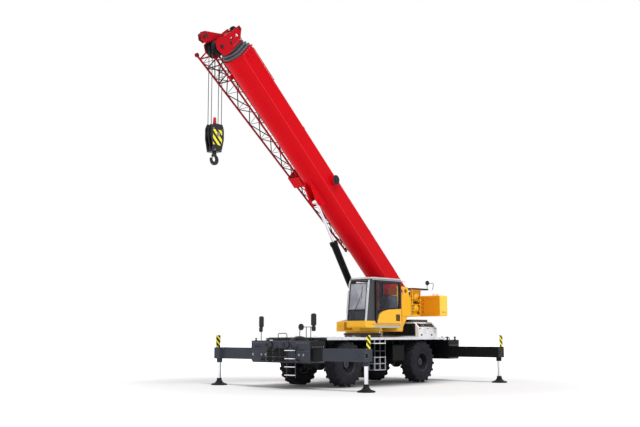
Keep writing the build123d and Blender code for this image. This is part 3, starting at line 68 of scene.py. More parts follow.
# Mobile crane, in metres: origin on the ground under the slewing axis, +X forward, +Y left, +Z up.
TAU = 2 * math.pi
SIDES = ((-1, "right"), (1, "left"))
WHEELS = ("front_left", "front_right", "rear_left", "rear_right")
AXLES = {"front": 2.28, "rear": -1.95}
AXLE_Z = 0.765
NOSE_X, BOX_TOP_Z, DECK_TOP_Z, TANK_TOP_Z, ROOF_Z = 4.281, 1.5405, 1.652, 2.62, 3.6905
SIDE_PLATE_Y, DOOR_Y = 0.5405, 1.5015

# The boom's own axes: u along it, y to its left, w square above it.
FOOT = Vector(next(joint for joint in frame["joints"] if joint["name"] == "luff")["pos_m"])
LUFF = math.radians(42.08)
BOOM_FRAME = Matrix(((math.cos(LUFF), 0, -math.sin(LUFF), FOOT.x), (0, 1, 0, 0),
                     (math.sin(LUFF), 0, math.cos(LUFF), FOOT.z), (0, 0, 0, 1)))


def on_boom(u, y, w):
    """Point given in the boom's own axes."""
    return BOOM_FRAME @ Vector((u, y, w))


# ---------------------------------------------------------------- finishes
def folded(how):
    """Method that applies one operation to all its values, from the left."""
    def method(self, first, *rest):
        for value in rest:
            first = self.math(how, first, value)
        return first
    return method


class Finish:
    """A material's node tree, with short calls for the nodes that the crane's finishes use."""

    times, over, plus, minus = folded("MULTIPLY"), folded("DIVIDE"), folded("ADD"), folded("SUBTRACT")
    most, least = folded("MAXIMUM"), folded("MINIMUM")

    def __init__(self, name):
        self.material = bpy.data.materials.new(name)
        self.material.use_nodes = True
        self.tree = self.material.node_tree
        self.shader = self.tree.nodes["Principled BSDF"]
        self.coords = self.tree.nodes.new("ShaderNodeTexCoord").outputs["Object"]

    def node(self, kind, **values):
        made = self.tree.nodes.new("ShaderNode" + kind)
        for key, value in values.items():
            setattr(made, key, value)
        return made

    def join(self, source, target):
        if isinstance(source, (int, float, tuple)):
            target.default_value = source
        else:
            self.tree.links.new(source, target)

    def fill(self, made, *values):
        """Give a node's inputs their values in order, and return its first output."""
        for socket, value in zip(made.inputs, values):
            self.join(value, socket)
        return made.outputs[0]

    def math(self, how, a, b=0.0):
        return self.fill(self.node("Math", operation=how), a, b)

    def mapped(self, scale=(1, 1, 1), turn=(0, 0, 0), source=None):
        return self.fill(self.node("Mapping", vector_type="POINT"), source or self.coords, (0, 0, 0), turn,
                         scale)

    def noise(self, scale, detail=4, rough=0.55, source=None):
        made = self.node("TexNoise")
        for key, value in (("Vector", source or self.coords), ("Scale", scale), ("Detail", detail),
                           ("Roughness", rough)):
            self.join(value, made.inputs[key])
        return made.outputs["Fac"]

    def spread(self, value, low, high, out_low=0.0, out_high=1.0, soft=False):
        made = self.node("MapRange", clamp=True, interpolation_type="SMOOTHSTEP" if soft else "LINEAR")
        return self.fill(made, value, low, high, out_low, out_high)

    def cloud(self, scale, detail, low, high, rough=0.55, source=None):
        """Noise stretched between two of its levels."""
        return self.spread(self.noise(scale, detail, rough, source), low, high)

    def axis(self, name, source=None):
        made = self.node("SeparateXYZ")
        self.fill(made, source or self.coords)
        return made.outputs[name]

    def off(self, value, middle):
        return self.math("ABSOLUTE", self.minus(value, middle))

    def within(self, name, low, high, edge=0.0005):
        """1 between two values along an axis, 0 outside."""
        along = self.axis(name)
        return self.times(self.spread(along, low - edge, low + edge),
                          self.spread(along, high - edge, high + edge, 1, 0))

    def outside(self, name, limit):
        """1 farther than a value from the middle plane, on either side."""
        return self.math("GREATER_THAN", self.math("ABSOLUTE", self.axis(name)), limit)

    def mix(self, share, a, b):
        made = self.node("Mix", data_type="RGBA")
        self.join(share, made.inputs[0])
        for value, socket in ((a, made.inputs[6]), (b, made.inputs[7])):
            self.join(value + (1.0,) if isinstance(value, tuple) else value, socket)
        return made.outputs[2]

    def set(self, **sockets):
        for key, value in sockets.items():
            self.join(value + (1.0,) if isinstance(value, tuple) else value,
                      self.shader.inputs[key.replace("_", " ")])
        return self

    def relief(self, height, strength, distance):
        made = self.node("Bump")
        for key, value in (("Strength", strength), ("Distance", distance), ("Height", height)):
            self.join(value, made.inputs[key])
        self.join(made.outputs[0], self.shader.inputs["Normal"])
        return self.material

    def length(self, source):
        made = self.node("VectorMath", operation="LENGTH")
        self.fill(made, source)
        return made.outputs["Value"]

    def boom_axes(self):
        made = self.node("VectorMath", operation="SUBTRACT")
        turned = self.node("VectorRotate", rotation_type="Y_AXIS")
        turned.inputs["Angle"].default_value = LUFF
        self.join(self.fill(made, self.coords, tuple(FOOT)), turned.inputs["Vector"])
        return turned.outputs[0]

    def stripes(self, base, mask, black, lean, pitch):
        """Diagonal hazard bands where the mask is 1."""
        line = self.axis("X", self.mapped(turn=(0, math.radians(lean), 0)))
        wave = self.math("FRACT", self.over(line, pitch))
        return self.mix(mask, base, self.mix(self.spread(wave, 0.495, 0.505), black, HAZARD_YELLOW))


def linear(r, g, b):
    return tuple((c / 255 / 12.92) if c <= 10 else ((c / 255 + 0.055) / 1.055) ** 2.4 for c in (r, g, b))


def shaded(colour, share):
    return tuple(c * share for c in colour)


DUST = linear(150, 140, 125)
YELLOW = linear(250, 186, 40)
HAZARD_YELLOW = linear(238, 226, 60)
HAZARD_BLACK = linear(20, 20, 22)
WHITE = linear(228, 229, 234)


def enamel(name, colour, rough, coat, dust, dust_top, fade=0.86, gloss=0.3, colour_at=None):
    """Sprayed enamel: slow fading, faint orange peel, road dust that thins out upwards."""
    f = Finish(name)
    fine = f.noise(38, 6, 0.7)
    base = f.mix(f.cloud(0.9, 5, 0.3, 0.7), shaded(colour, fade), colour)
    if colour_at:
        base = colour_at(f, base)
    base = f.mix(f.times(f.spread(fine, 0.62, 0.72, 0, 0.35), 0.35), base, shaded(colour, 0.55))
    low = f.spread(f.axis("Z"), 0.1, dust_top, dust, dust * 0.12)
    f.set(Base_Color=f.mix(f.times(low, f.cloud(3.2, 8, 0.35, 0.75, 0.65)), base, DUST),
          Roughness=f.spread(fine, 0.3, 0.7, rough - 0.06, rough + 0.1), Coat_Weight=coat,
          Coat_Roughness=0.12, Specular_IOR_Level=gloss)
    return f.relief(f.noise(260, 3), 0.06, 0.002)


def plain_metal(name, colour, rough, grain=(1, 1, 60), dark=0.75):
    f = Finish(name)
    lines = f.noise(24, 6, 0.6, f.mapped(grain))
    f.set(Base_Color=f.mix(f.spread(lines, 0.35, 0.7), shaded(colour, dark), colour), Metallic=1.0,
          Roughness=f.spread(lines, 0.3, 0.7, rough - 0.06, rough + 0.08))
    return f.relief(lines, 0.12, 0.001)


def moulded(name, colour, rough, texture, dust):
    f = Finish(name)
    pores = f.noise(texture, 5, 0.7)
    pored = f.mix(f.spread(pores, 0.3, 0.7), shaded(colour, 0.75), colour)
    f.set(Base_Color=f.mix(f.times(f.cloud(4, 6, 0.4, 0.75), dust), pored, DUST),
          Roughness=f.spread(pores, 0.3, 0.7, rough - 0.08, rough + 0.1), Specular_IOR_Level=0.25)
    return f.relief(pores, 0.25, 0.001)


def box_shade_and_dome(f, base):
    """Painted shade: the outrigger boxes' ends are black behind the beams' mouths, as if in shadow; the low
    dome is black too.
    """
    dome = f.times(f.within("Z", BOX_TOP_Z, 1.8), f.within("X", 3.3, 4.3))
    return f.mix(f.most(f.outside("Y", 1.312), dome), base, linear(17, 17, 21))


def beam_signs_and_shade(f, base):
    """Hazard bands on the upright sign plates; black at the near mouth, and painted shade: black all along
    the rear beams, as if in shadow.
    """
    sign_foot = 1.2985
    mouth = f.times(f.within("Y", 1.2, 1.76), f.within("Z", 0.5, sign_foot))
    # painted shade: the rear beams go black all along, as if in shadow
    rear = f.times(f.spread(f.axis("X"), -1, 0, 1, 0), f.within("Z", 0.5, sign_foot))
    base = f.mix(f.most(mouth, rear), base, linear(16, 16, 20))
    return f.stripes(base, f.within("Z", sign_foot, 1.9), HAZARD_BLACK, -50, 0.14)


def head_parts(f, base):
    """The fourth section is grey behind its red head."""
    return f.mix(f.spread(f.axis("X", f.boom_axes()), 11.1345, 11.1355), linear(62, 58, 66), base)


def hood_parts(f, base):
    """Dark air cleaner on top, dark core behind the front slats."""
    core = f.times(f.within("X", -2.2215, -2.19), f.times(f.within("Y", -0.76, 0.76),
                                                          f.within("Z", 1.69, 2.155)))
    return f.mix(f.most(f.within("Z", 2.2005, 2.6), core), base, linear(52, 50, 52))


def block_parts(f, base):
    """Hazard bands on the cheeks' panels, and a red trip plate above."""
    low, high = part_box("hook_block")
    middle, middle_z = (low[0] + high[0]) / 2, 7.745
    panel = f.times(f.within("Z", middle_z - 0.23, middle_z + 0.25),
                    f.within("X", middle - 0.16, middle + 0.21), f.outside("Y", 0.1665))
    base = f.stripes(base, panel, HAZARD_BLACK, -45, 0.17)
    return f.mix(f.within("Z", 8.181, 8.6), base, linear(190, 20, 40))


def door_parts(f, base):
    """Dark above the stepped edge of the door's yellow panel."""
    x = f.axis("X")
    edge = f.least(*[f.minus(top, f.times(f.plus(x, -start), slope))
                     for top, start, slope in ((2.632, -0.32, 0.05), (2.595, 0.43, 0.21),
                                               (2.44, 0.93, 1.85))])
    lower = f.math("GREATER_THAN", f.minus(edge, f.axis("Z")), 0.0)
    return f.mix(f.times(lower, f.within("X", -0.4, 1.045)), linear(24, 24, 29), base)


def skirt_parts(f, base):
    """Pale sill strip."""
    return f.mix(f.times(f.within("Z", 1.96, 2.03), f.within("X", -0.5, 1.18)), base, linear(168, 176, 168))


def weight_lit_sides(f, base):
    """Painted light: the sides are a lighter yellow, as if lit, beside the darker amber of the front, which
    is painted shade.
    """
    front = f.spread(f.axis("X"), -2.945, -2.9415)
    return f.mix(f.times(f.outside("Y", 1.3), f.minus(1.0, front)), base, linear(250, 206, 70))


JIB_FOOT_U, JIB_LENGTH = 11.285, 9.085


def jib_parts(f, base):
    """Red chords along the tapering jib, darker lacing bars between them."""
    at = f.boom_axes()
    u, y, w = f.axis("X", at), f.axis("Y", at), f.axis("Z", at)
    share = f.over(f.minus(JIB_FOOT_U, u), JIB_LENGTH)

    def near(value, middle):
        return f.math("LESS_THAN", f.off(value, middle), 0.0265)
    outer, low, high = (f.plus(start, f.times(share, taper))
                        for start, taper in ((-1.18, 0.5), (-0.32, 0.25), (0.46, -0.26)))
    chord = f.times(f.most(near(y, outer), near(y, -0.52)), f.most(near(w, low), near(w, high)))
    return f.mix(f.most(chord, f.spread(u, 10.9, 11.0)), linear(52, 26, 38), base)


def rubber():
    f = Finish("tyre_rubber")
    grain = f.noise(70, 6, 0.7)
    tread = f.mix(grain, linear(20, 20, 26), linear(36, 36, 43))
    f.set(Base_Color=f.mix(f.times(f.cloud(5, 8, 0.42, 0.7, 0.6), 0.05), tread, linear(112, 106, 98)),
          Roughness=f.spread(grain, 0.3, 0.7, 0.62, 0.82), Specular_IOR_Level=0.15)
    return f.relief(grain, 0.3, 0.002)


def rope():
    """Wire rope: strands wound at a steady lay, greased in the grooves."""
    f = Finish("wire_rope")
    wave = f.node("TexWave", wave_type="BANDS", bands_direction="Z")
    for key, value in (("Vector", f.mapped((6, 6, 1))), ("Scale", 28), ("Distortion", 0.4)):
        f.join(value, wave.inputs[key])
    strand = wave.outputs["Fac"]
    f.set(Base_Color=f.mix(strand, linear(8, 8, 10), linear(34, 35, 40)), Metallic=0.1,
          Roughness=f.spread(strand, 0, 1, 0.55, 0.32))
    return f.relief(strand, 0.8, 0.003)


def rod_and_float():
    """One forging below, hard chrome above it."""
    f = Finish("jack_rod_and_float")
    rod = f.within("Z", 0.245, 2.0)
    forged = f.mix(f.times(f.cloud(6, 6, 0.4, 0.75), 0.06), linear(14, 14, 18), DUST)
    f.set(Base_Color=f.mix(rod, forged, linear(214, 216, 222)), Metallic=rod,
          Roughness=f.spread(rod, 0, 1, 0.6, 0.14), Specular_IOR_Level=0.15)
    return f.relief(f.times(f.noise(60, 6, 0.65), f.spread(rod, 0, 1, 1, 0.03)), 0.2, 0.002)


def cab_shell():
    """Dark cab shell with bright edges round the screen and along the roof."""
    f = Finish("cab_shell_enamel")
    front = f.spread(f.plus(f.axis("X"), f.times(f.axis("Z"), 0.129)), 1.868, 1.872)
    edges = f.most(f.within("Y", 0.5, 0.632), f.within("Y", 1.408, 1.6))
    bright = f.most(f.times(front, edges), f.within("Z", 3.632, 3.8))
    grain = f.cloud(40, 6, 0.3, 0.7, 0.7)
    f.set(Base_Color=f.mix(bright, f.mix(grain, linear(24, 25, 30), linear(34, 35, 41)),
                           linear(196, 202, 206)),
          Roughness=f.spread(grain, 0, 1, 0.32, 0.46), Coat_Weight=0.1)
    return f.relief(f.noise(220, 3), 0.06, 0.001)


def panes():
    """Clear tinted panes whose pale colour is a painted reflection of the white surroundings; the raked
    screen is paler, and darker again in its lower part.
    """
    f = Finish("tinted_panes")
    screen = f.spread(f.axis("X"), 1.3, 1.32)
    upper = f.times(screen, f.spread(f.axis("Z"), 2.572, 2.576))
    haze = f.cloud(1.6, 5, 0.35, 0.7)
    # painted reflection: a pale colour that the more opaque raked screen shows strongly
    painted_reflection = f.mix(haze, linear(150, 152, 164), linear(196, 198, 208))
    f.set(Base_Color=f.mix(upper, linear(48, 50, 60), painted_reflection), Roughness=f.spread(haze, 0, 1, 0.03, 0.08),
          Alpha=f.plus(0.15, f.plus(f.times(screen, 0.6), f.times(upper, -0.12))),
          Coat_Weight=0.15, Specular_IOR_Level=0.35)
    return f.material


def step_metal():
    """Bare rungs between dark rails on the nose; the side steps are dark above."""
    f = Finish("step_metal")
    nose, behind = f.spread(f.axis("X"), 4.2, 4.21), f.within("X", 4.2, 4.3125)
    rung = f.most(f.times(nose, f.minus(1.0, behind)), f.within("Z", 1.4245, 1.46))
    dark = f.most(f.times(nose, behind), f.times(f.spread(f.axis("X"), 4.2, 4.21, 1, 0),
                                                 f.within("Z", 1.0, 1.42)))
    grain = f.cloud(30, 6, 0.3, 0.7, 0.6, f.mapped((1, 1, 30)))
    bare = f.mix(grain, linear(140, 141, 150), linear(206, 208, 214))
    f.set(Base_Color=f.mix(dark, f.mix(rung, bare, linear(236, 238, 240)), linear(28, 28, 33)),
          Roughness=f.spread(grain, 0, 1, 0.36, 0.5),
          Metallic=f.times(f.minus(1.0, f.most(dark, rung)), 0.8))
    return f.relief(grain, 0.1, 0.001)


def deck_paint():
    """White deck whose top is a raised-pattern tread plate."""
    f = Finish("deck_enamel")
    bars = []
    for turn in (0.785, -0.785):
        at = f.mapped((1, 1, 0), (0, 0, turn))
        far = [f.off(f.math("FRACT", f.times(f.axis(name, at), 16)), 0.5) for name in "XY"]
        bars.append(f.times(f.spread(far[0], 0.3, 0.34, 1, 0), f.spread(far[1], 0.08, 0.12, 1, 0)))
    raised = f.times(f.within("Z", 1.6385, 1.7), f.most(*bars))
    slow = f.cloud(2.5, 7, 0.35, 0.75, 0.6)
    paint = f.mix(f.spread(f.axis("X"), 3.455, 3.457), f.mix(slow, shaded(WHITE, 0.88), WHITE),
                  linear(24, 24, 28))
    f.set(Base_Color=f.mix(f.times(raised, 0.25), paint, linear(150, 150, 152)),
          Roughness=f.spread(slow, 0, 1, 0.4, 0.55))
    return f.relief(raised, 0.5, 0.003)


# Colour, roughness, coat, dust, height where it ends, fading, gloss and what changes the colour.
ENAMELS = {
    "red_enamel": (linear(206, 4, 20), 0.38, 0.0, 0.01, 3.0, 0.93, 0.07),
    "yellow_enamel": (YELLOW, 0.34, 0.08, 0.04, 2.4, 0.95, 0.2),
    "amber_enamel": (linear(240, 158, 24), 0.36, 0.08, 0.03, 2.8, 0.94, 0.2),
    # charcoal, with painted shade that turns the outrigger boxes' ends black
    "charcoal_enamel": (linear(56, 59, 71), 0.42, 0.05, 0.1, 1.7, 0.85, 0.12, box_shade_and_dome),
    "black_enamel": (linear(12, 12, 15), 0.45, 0.0, 0.03, 1.2, 0.8, 0.12),
    "white_enamel": (WHITE, 0.36, 0.1, 0.1, 2.2, 0.95),
    "grey_enamel": (linear(84, 84, 90), 0.4, 0.1, 0.02, 1.0, 0.85),
    "rim_enamel": (linear(36, 37, 46), 0.42, 0.0, 0.06, 1.2, 0.85, 0.2),
    # pale red: partly seam colour, partly a painted highlight along the boom
    "seam_red": (linear(226, 66, 66), 0.4, 0.0, 0.01, 3.0, 0.95, 0.1),
    "jib_lacing": (linear(86, 14, 32), 0.4, 0.0, 0.01, 3.0, 0.85, 0.1),
    # dark grey beams, with painted shade that turns the rear ones black
    "beam_enamel": (linear(60, 63, 73), 0.42, 0.0, 0.05, 1.5, 0.85, 0.12, beam_signs_and_shade),
    "head_enamel": (linear(186, 6, 24), 0.4, 0.0, 0.02, 3.0, 0.82, 0.1, head_parts),
    "hood_enamel": (linear(232, 233, 234), 0.38, 0.1, 0.02, 2.2, 0.97, 0.3, hood_parts),
    "block_enamel": (linear(22, 22, 28), 0.36, 0.1, 0.02, 1.0, 0.8, 0.3, block_parts),
    "door_enamel": (YELLOW, 0.34, 0.08, 0.04, 2.4, 0.95, 0.2, door_parts),
    "skirt_enamel": (YELLOW, 0.34, 0.08, 0.04, 2.4, 0.95, 0.2, skirt_parts),
    # painted shade and light: darker amber as if the front were in shade, and painted light on the sides
    "weight_enamel": (linear(238, 152, 22), 0.36, 0.08, 0.02, 2.8, 0.94, 0.2, weight_lit_sides),
    "jib_enamel": (linear(150, 12, 34), 0.4, 0.0, 0.01, 3.0, 0.85, 0.1, jib_parts),
}
# Colour, roughness, size of the pores and dust.
MOULDED = {
    "casting": (linear(30, 31, 36), 0.6, 55, 0.1),
    "dark_trim": (linear(24, 25, 29), 0.5, 120, 0.04),
    "lens_dark": (linear(44, 46, 52), 0.15, 60, 0.02),
    "lamp_white": (linear(236, 238, 240), 0.3, 60, 0.02),
    "lamp_red": (linear(168, 22, 20), 0.25, 60, 0.05),
    "lamp_amber": (linear(224, 110, 18), 0.25, 60, 0.05),
    "seat_cloth": (linear(58, 60, 74), 0.85, 240, 0.03),
    "hose_rubber": (linear(22, 22, 24), 0.6, 160, 0.1),
    "panel_orange": (linear(232, 112, 54), 0.5, 60, 0.03),
    "panel_grey": (linear(148, 158, 182), 0.5, 60, 0.03),
}
METALS = {
    "bare_aluminium": (linear(205, 206, 210), 0.34),
    "machined_steel": (linear(158, 159, 164), 0.36),
    "dark_steel": (linear(92, 90, 90), 0.45),
    "hard_chrome": (linear(225, 227, 232), 0.12, (1, 1, 3), 0.92),
}
PAINT = {name: make(name, *given) for make, table in ((enamel, ENAMELS), (moulded, MOULDED),
                                                      (plain_metal, METALS))
         for name, given in table.items()}
PAINT.update(tyre_rubber=rubber(), wire_rope=rope(), jack_rod_and_float=rod_and_float(),
             cab_shell_enamel=cab_shell(), tinted_panes=panes(), step_metal=step_metal(),
             deck_enamel=deck_paint())


# Record slot of each finish; the new bolt pieces take their names from it.
SLOTS = {
    "black_paint": "black_enamel cab_shell_enamel", "chassis_paint": "grey_enamel rim_enamel",
    "deck_paint": "white_enamel deck_enamel", "yellow_paint": "yellow_enamel",
    "amber_paint": "amber_enamel", "red_paint": "red_enamel seam_red jib_lacing",
    "light_paint": "lamp_white", "cast": "casting",
    "trim": "dark_trim hose_rubber seat_cloth panel_orange panel_grey", "tyre_rubber": "tyre_rubber",
    "steel": "machined_steel dark_steel wire_rope", "bare_metal": "bare_aluminium",
    "rod_chrome": "hard_chrome", "pane": "lens_dark lamp_red lamp_amber", }
SLOT_OF = {paint: slot for slot, paints in SLOTS.items() for paint in paints.split()}
DRESS = {
    "black_enamel": "chassis_frame rear_outrigger_box side_tanks luff_barrel",
    "charcoal_enamel": "front_outrigger_box", "deck_enamel": "deck",
    "casting": "front_axle rear_axle engine hook", "hood_enamel": "engine_hood", "step_metal": "ladders",
    "dark_trim": "mirrors cab_seat head_sheaves", "dark_steel": "slew_ring main_winch aux_winch",
    "yellow_enamel": "turntable hydraulic_tank winch_frame", "skirt_enamel": "cab_body",
    "cab_shell_enamel": "cab_frame", "tinted_panes": "cab_glass door_glass", "door_enamel": "cab_door",
    "weight_enamel": "counterweight", "red_enamel": "boom_base",
    "grey_enamel": "boom_section_2 boom_section_3", "head_enamel": "boom_section_4", "jib_enamel": "jib",
    "hard_chrome": "luff_rod", "wire_rope": "hoist_ropes", "block_enamel": "hook_block", }
CORNER_DRESS = {"tyre_rubber": "tyre_", "rim_enamel": "rim_", "casting": "knuckle_",
                "beam_enamel": "outrigger_beam_", "jack_rod_and_float": "outrigger_jack_"}
corner_nodes = [(paint, stem + corner) for paint, stem in CORNER_DRESS.items() for corner in WHEELS]
for paint, nodes in [*DRESS.items(), *corner_nodes]:
    for node in nodes.split():
        frame["nodes"][node].data.materials.clear()
        frame["nodes"][node].data.materials.append(PAINT[paint])


# ---------------------------------------------------------------- making pieces
WAYS = {"x": (1, 0, 0), "-x": (-1, 0, 0), "y": (0, 1, 0), "z": (0, 0, 1), 1: (0, 1, 0), -1: (0, -1, 0)}


def way(given):
    """Direction from a letter, from a side of the crane or from a vector."""
    return Vector(WAYS[given] if isinstance(given, (str, int)) else given)


def stand(at, up="z", along="x"):
    """Placement whose Z points along 'up' and whose X leans towards 'along'."""
    z, along = way(up).normalized(), way(along)
    x = along - z * along.dot(z)
    x = x.normalized() if x.length > 1e-5 else z.orthogonal().normalized()
    placed = Matrix((x, z.cross(x), z)).transposed().to_4x4()
    placed.translation = Vector(at)
    return placed


def own(name, mesh, paint, body, bevel=0.0, angle=32):
    """Finished piece: mesh in place, smooth with sharp edges, riding on its body."""
    mesh.materials.append(PAINT[paint])
    mesh.polygons.foreach_set("use_smooth", [True] * len(mesh.polygons))
    mesh.set_sharp_from_angle(angle=math.radians(angle))
    piece = bpy.data.objects.new(name, mesh)
    bpy.context.scene.collection.objects.link(piece)
    if bevel:
        edge = piece.modifiers.new("edge", "BEVEL")
        edge.width, edge.segments, edge.limit_method = bevel, 2, "ANGLE"
        edge.angle_limit = math.radians(38)
    if body:
        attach(piece, body)
    return piece


def round_points(radius, count, first=0.0):
    turns = [first + TAU * k / count for k in range(count)]
    return [(radius * math.cos(a), radius * math.sin(a)) for a in turns]


def bands(rings, sides):
    """Faces between rings of points numbered one after the other."""
    return [(i * sides + k, i * sides + j, (i + 1) * sides + j, (i + 1) * sides + k)
            for i in range(rings - 1) for k, j in zip(range(sides), (*range(1, sides), 0))]


def ends(rings, sides):
    return [tuple(range(sides))[::-1], tuple(range((rings - 1) * sides, rings * sides))]


class Shape:
    """A piece in the making: closed forms gathered in one mesh, on one body."""

    def __init__(self, body="chassis", place=None):
        self.mesh, self.body, self.place = bmesh.new(), body, place or Matrix()

    def add(self, points, faces, place=None):
        at = self.place @ (place or Matrix())
        made = [self.mesh.verts.new(at @ Vector(p)) for p in points]
        for face in faces:
            self.mesh.faces.new([made[i] for i in face])
        return self

    def blocks(self, *boxes):
        """Boxes, each given as x, x, y, y, z, z."""
        for box in boxes:
            x, y, z = box[:2], box[2:4], box[4:]
            self.add([(a, b, c) for c in z for b in y for a in x],
                     ((0, 2, 3, 1), (4, 5, 7, 6), (0, 1, 5, 4), (2, 6, 7, 3), (0, 4, 6, 2), (1, 3, 7, 5)))
        return self

    def plate(self, outline, low, high, axis="y", place=None):
        """Prism of a flat outline: (x, z) across y, (y, z) across x or (x, y) across z."""
        order = {"y": lambda a, b, t: (a, t, b), "x": lambda a, b, t: (t, a, b), "z": lambda a, b,
                 t: (a, b, t)}[axis]
        n = len(outline)
        return self.add([order(a, b, t) for t in (low, high) for a, b in outline], ends(2, n) + bands(2, n),
                        place)

    def turned(self, profile, sides=24, place=None):
        """Profile of (radius, height) spun about Z; it closes on itself if it has no end on the axis."""
        points, rings = [], []
        for r, z in profile:
            rings.append(range(len(points), len(points) + (sides if r else 1)))
            points += [(a, b, z) for a, b in round_points(r, sides)] if r else [(0, 0, z)]
        closed = all(r for r, z in profile)
        faces = []
        for a, b in zip(rings, [*rings[1:], rings[0]] if closed else rings[1:]):
            for i in range(sides):
                j = (i + 1) % sides
                faces.append(tuple(dict.fromkeys((a[i % len(a)], a[j % len(a)], b[j % len(b)],
                                                  b[i % len(b)]))))
        return self.add(points, faces, place)

    def rod(self, a, b, radius, sides=12, edge=0.0):
        a, b = Vector(a), Vector(b)
        length = (b - a).length
        edge = min(edge, radius * 0.6, length * 0.3)
        bevelled = [(radius - edge, 0), (radius, edge), (radius, length - edge), (radius - edge, length)]
        wall = bevelled if edge else [(radius, 0), (radius, length)]
        return self.turned([(0, 0), *wall, (0, length)], sides, stand(a, b - a))

    def rods(self, radius, sides, *lines):
        for a, b in lines:
            self.rod(a, b, radius, sides)
        return self

    def run(self, points, radius, sides=8, steps=6):
        """Round line that bends smoothly through the points."""
        p = [Vector(q) for q in points]
        p = [2 * p[0] - p[1]] + p + [2 * p[-1] - p[-2]]
        line = []
        for a, b, c, d in zip(p, p[1:], p[2:], p[3:]):
            for t in (k / steps for k in range(steps)):
                line.append(0.5 * (2 * b + (c - a) * t + (2 * a - 5 * b + 4 * c - d) * t * t
                                   + (3 * b - a - 3 * c + d) * t ** 3))
        line.append(p[-2])
        side = (line[1] - line[0]).orthogonal().normalized()
        made = []
        for i, at in enumerate(line):
            ahead = (line[min(i + 1, len(line) - 1)] - line[max(i - 1, 0)]).normalized()
            side = (side - ahead * side.dot(ahead)).normalized()
            other = ahead.cross(side)
            made += [at + radius * (side * a + other * b) for a, b in round_points(1, sides)]
        return self.add(made, bands(len(line), sides) + ends(len(line), sides))

    def finish(self, name, paint, bevel=0.0, angle=32, slot=None):
        bmesh.ops.recalc_face_normals(self.mesh, faces=self.mesh.faces)
        mesh = bpy.data.meshes.new(name)
        self.mesh.to_mesh(mesh)
        self.mesh.free()
        return own(name, mesh, paint, self.body, bevel, angle)


class Pattern:
    """Geometry tree with named sizes for what repeats; every run of it is baked to plain mesh."""
    runs = {}

    def __init__(self, name, **sizes):
        self.tree = bpy.data.node_groups.new(name, "GeometryNodeTree")
        face = self.tree.interface
        face.new_socket("Geometry", in_out="OUTPUT", socket_type="NodeSocketGeometry")
        self.ids = {key: face.new_socket(key.replace("_", " "), in_out="INPUT",
                                         socket_type="NodeSocket" + kind).identifier
                    for key, kind in {**sizes, "Finish": "Material"}.items()}
        self.given = dict(zip(self.ids, self.tree.nodes.new("NodeGroupInput").outputs))

    def join(self, value, socket):
        if isinstance(value, bpy.types.NodeSocket):
            self.tree.links.new(value, socket)
        else:
            socket.default_value = value

    def node(self, kind, settings=None, **sockets):
        """First output of a new node."""
        made = self.tree.nodes.new(kind)
        for key, value in (settings or {}).items():
            setattr(made, key, value)
        for key, value in sockets.items():
            self.join(value, next(s for s in made.inputs if s.name == key.replace("_", " ") and s.enabled))
        return made.outputs[0]

    def times(self, a, b):
        """A named size, or a socket, times a number or a socket."""
        made = self.tree.nodes.new("ShaderNodeMath")
        made.operation = "MULTIPLY"
        for value, socket in ((a, made.inputs[0]), (b, made.inputs[1])):
            self.join(self.given[value] if isinstance(value, str) else value, socket)
        return made.outputs[0]

    def vector(self, **parts):
        return self.node("ShaderNodeCombineXYZ", **parts)

    def moved(self, geometry, **how):
        return self.node("GeometryNodeTransform", Geometry=geometry, **how)

    def joined(self, *parts):
        made = self.tree.nodes.new("GeometryNodeJoinGeometry")
        for part in parts:
            self.tree.links.new(part, made.inputs[0])
        return made.outputs[0]

    def bolt_head(self):
        """Hexagon head on a washer, standing on its seat."""
        parts = []
        for corners, wide, tall, lift in ((12, 1.35, 0.3, 0.15), (6, 1.0, 1.0, 0.5)):
            disc = self.node("GeometryNodeMeshCylinder", Vertices=corners,
                             Radius=self.times("Head_radius", wide), Depth=self.times("Head_height", tall))
            parts.append(self.moved(disc, Translation=self.vector(Z=self.times("Head_height", lift))))
        return self.joined(*parts)

    def in_row(self, thing):
        row = self.node("GeometryNodeMeshLine", Count=self.given["Count"],
                        Offset=self.vector(X=self.given["Spacing"]))
        return self.close(self.node("GeometryNodeInstanceOnPoints", Points=row, Instance=thing))

    def close(self, instances):
        real = self.node("GeometryNodeRealizeInstances", Geometry=instances)
        shown = self.node("GeometryNodeSetMaterial", Geometry=real, Material=self.given["Finish"])
        self.tree.links.new(shown, self.tree.nodes.new("NodeGroupOutput").inputs[0])
        return self

    def lay(self, what, body, paint, place, **values):
        """One run of the pattern, added to the piece of that name on that body."""
        host = bpy.data.objects.new("host", bpy.data.meshes.new("host"))
        bpy.context.scene.collection.objects.link(host)
        made = host.modifiers.new("pattern", "NODES")
        made.node_group = self.tree
        for key, value in {**values, "Finish": PAINT[paint]}.items():
            made[self.ids[key]] = value
        mesh = bpy.data.meshes.new_from_object(host.evaluated_get(bpy.context.evaluated_depsgraph_get()))
        host.modifiers.remove(made)
        bpy.data.objects.remove(host)
        mesh.transform(place)
        Pattern.runs.setdefault((what + "_" + body, paint, body), []).append(mesh)

    @staticmethod
    def gather():
        for (name, paint, body), meshes in Pattern.runs.items():
            whole = bmesh.new()
            for mesh in meshes:
                whole.from_mesh(mesh)
            bmesh.ops.recalc_face_normals(whole, faces=whole.faces)
            mesh = bpy.data.meshes.new(name)
            whole.to_mesh(mesh)
            whole.free()
            own(name, mesh, paint, body)


def bolt_ring_tree():
    p = Pattern("bolt_ring", Count="Int", Ring_radius="Float", Head_radius="Float", Head_height="Float")
    ring = p.node("GeometryNodeMeshCircle", Vertices=p.given["Count"], Radius=p.given["Ring_radius"])
    return p.close(p.node("GeometryNodeInstanceOnPoints", Points=ring, Instance=p.bolt_head()))


def bolt_row_tree():
    p = Pattern("bolt_row", Count="Int", Spacing="Float", Head_radius="Float", Head_height="Float")
    return p.in_row(p.bolt_head())


def slat_row_tree():
    p = Pattern("slat_row", Count="Int", Spacing="Float", Size="Vector", Tilt="Float")
    slat = p.node("GeometryNodeMeshCube", Size=p.given["Size"])
    return p.in_row(p.moved(slat, Rotation=p.vector(Y=p.given["Tilt"])))


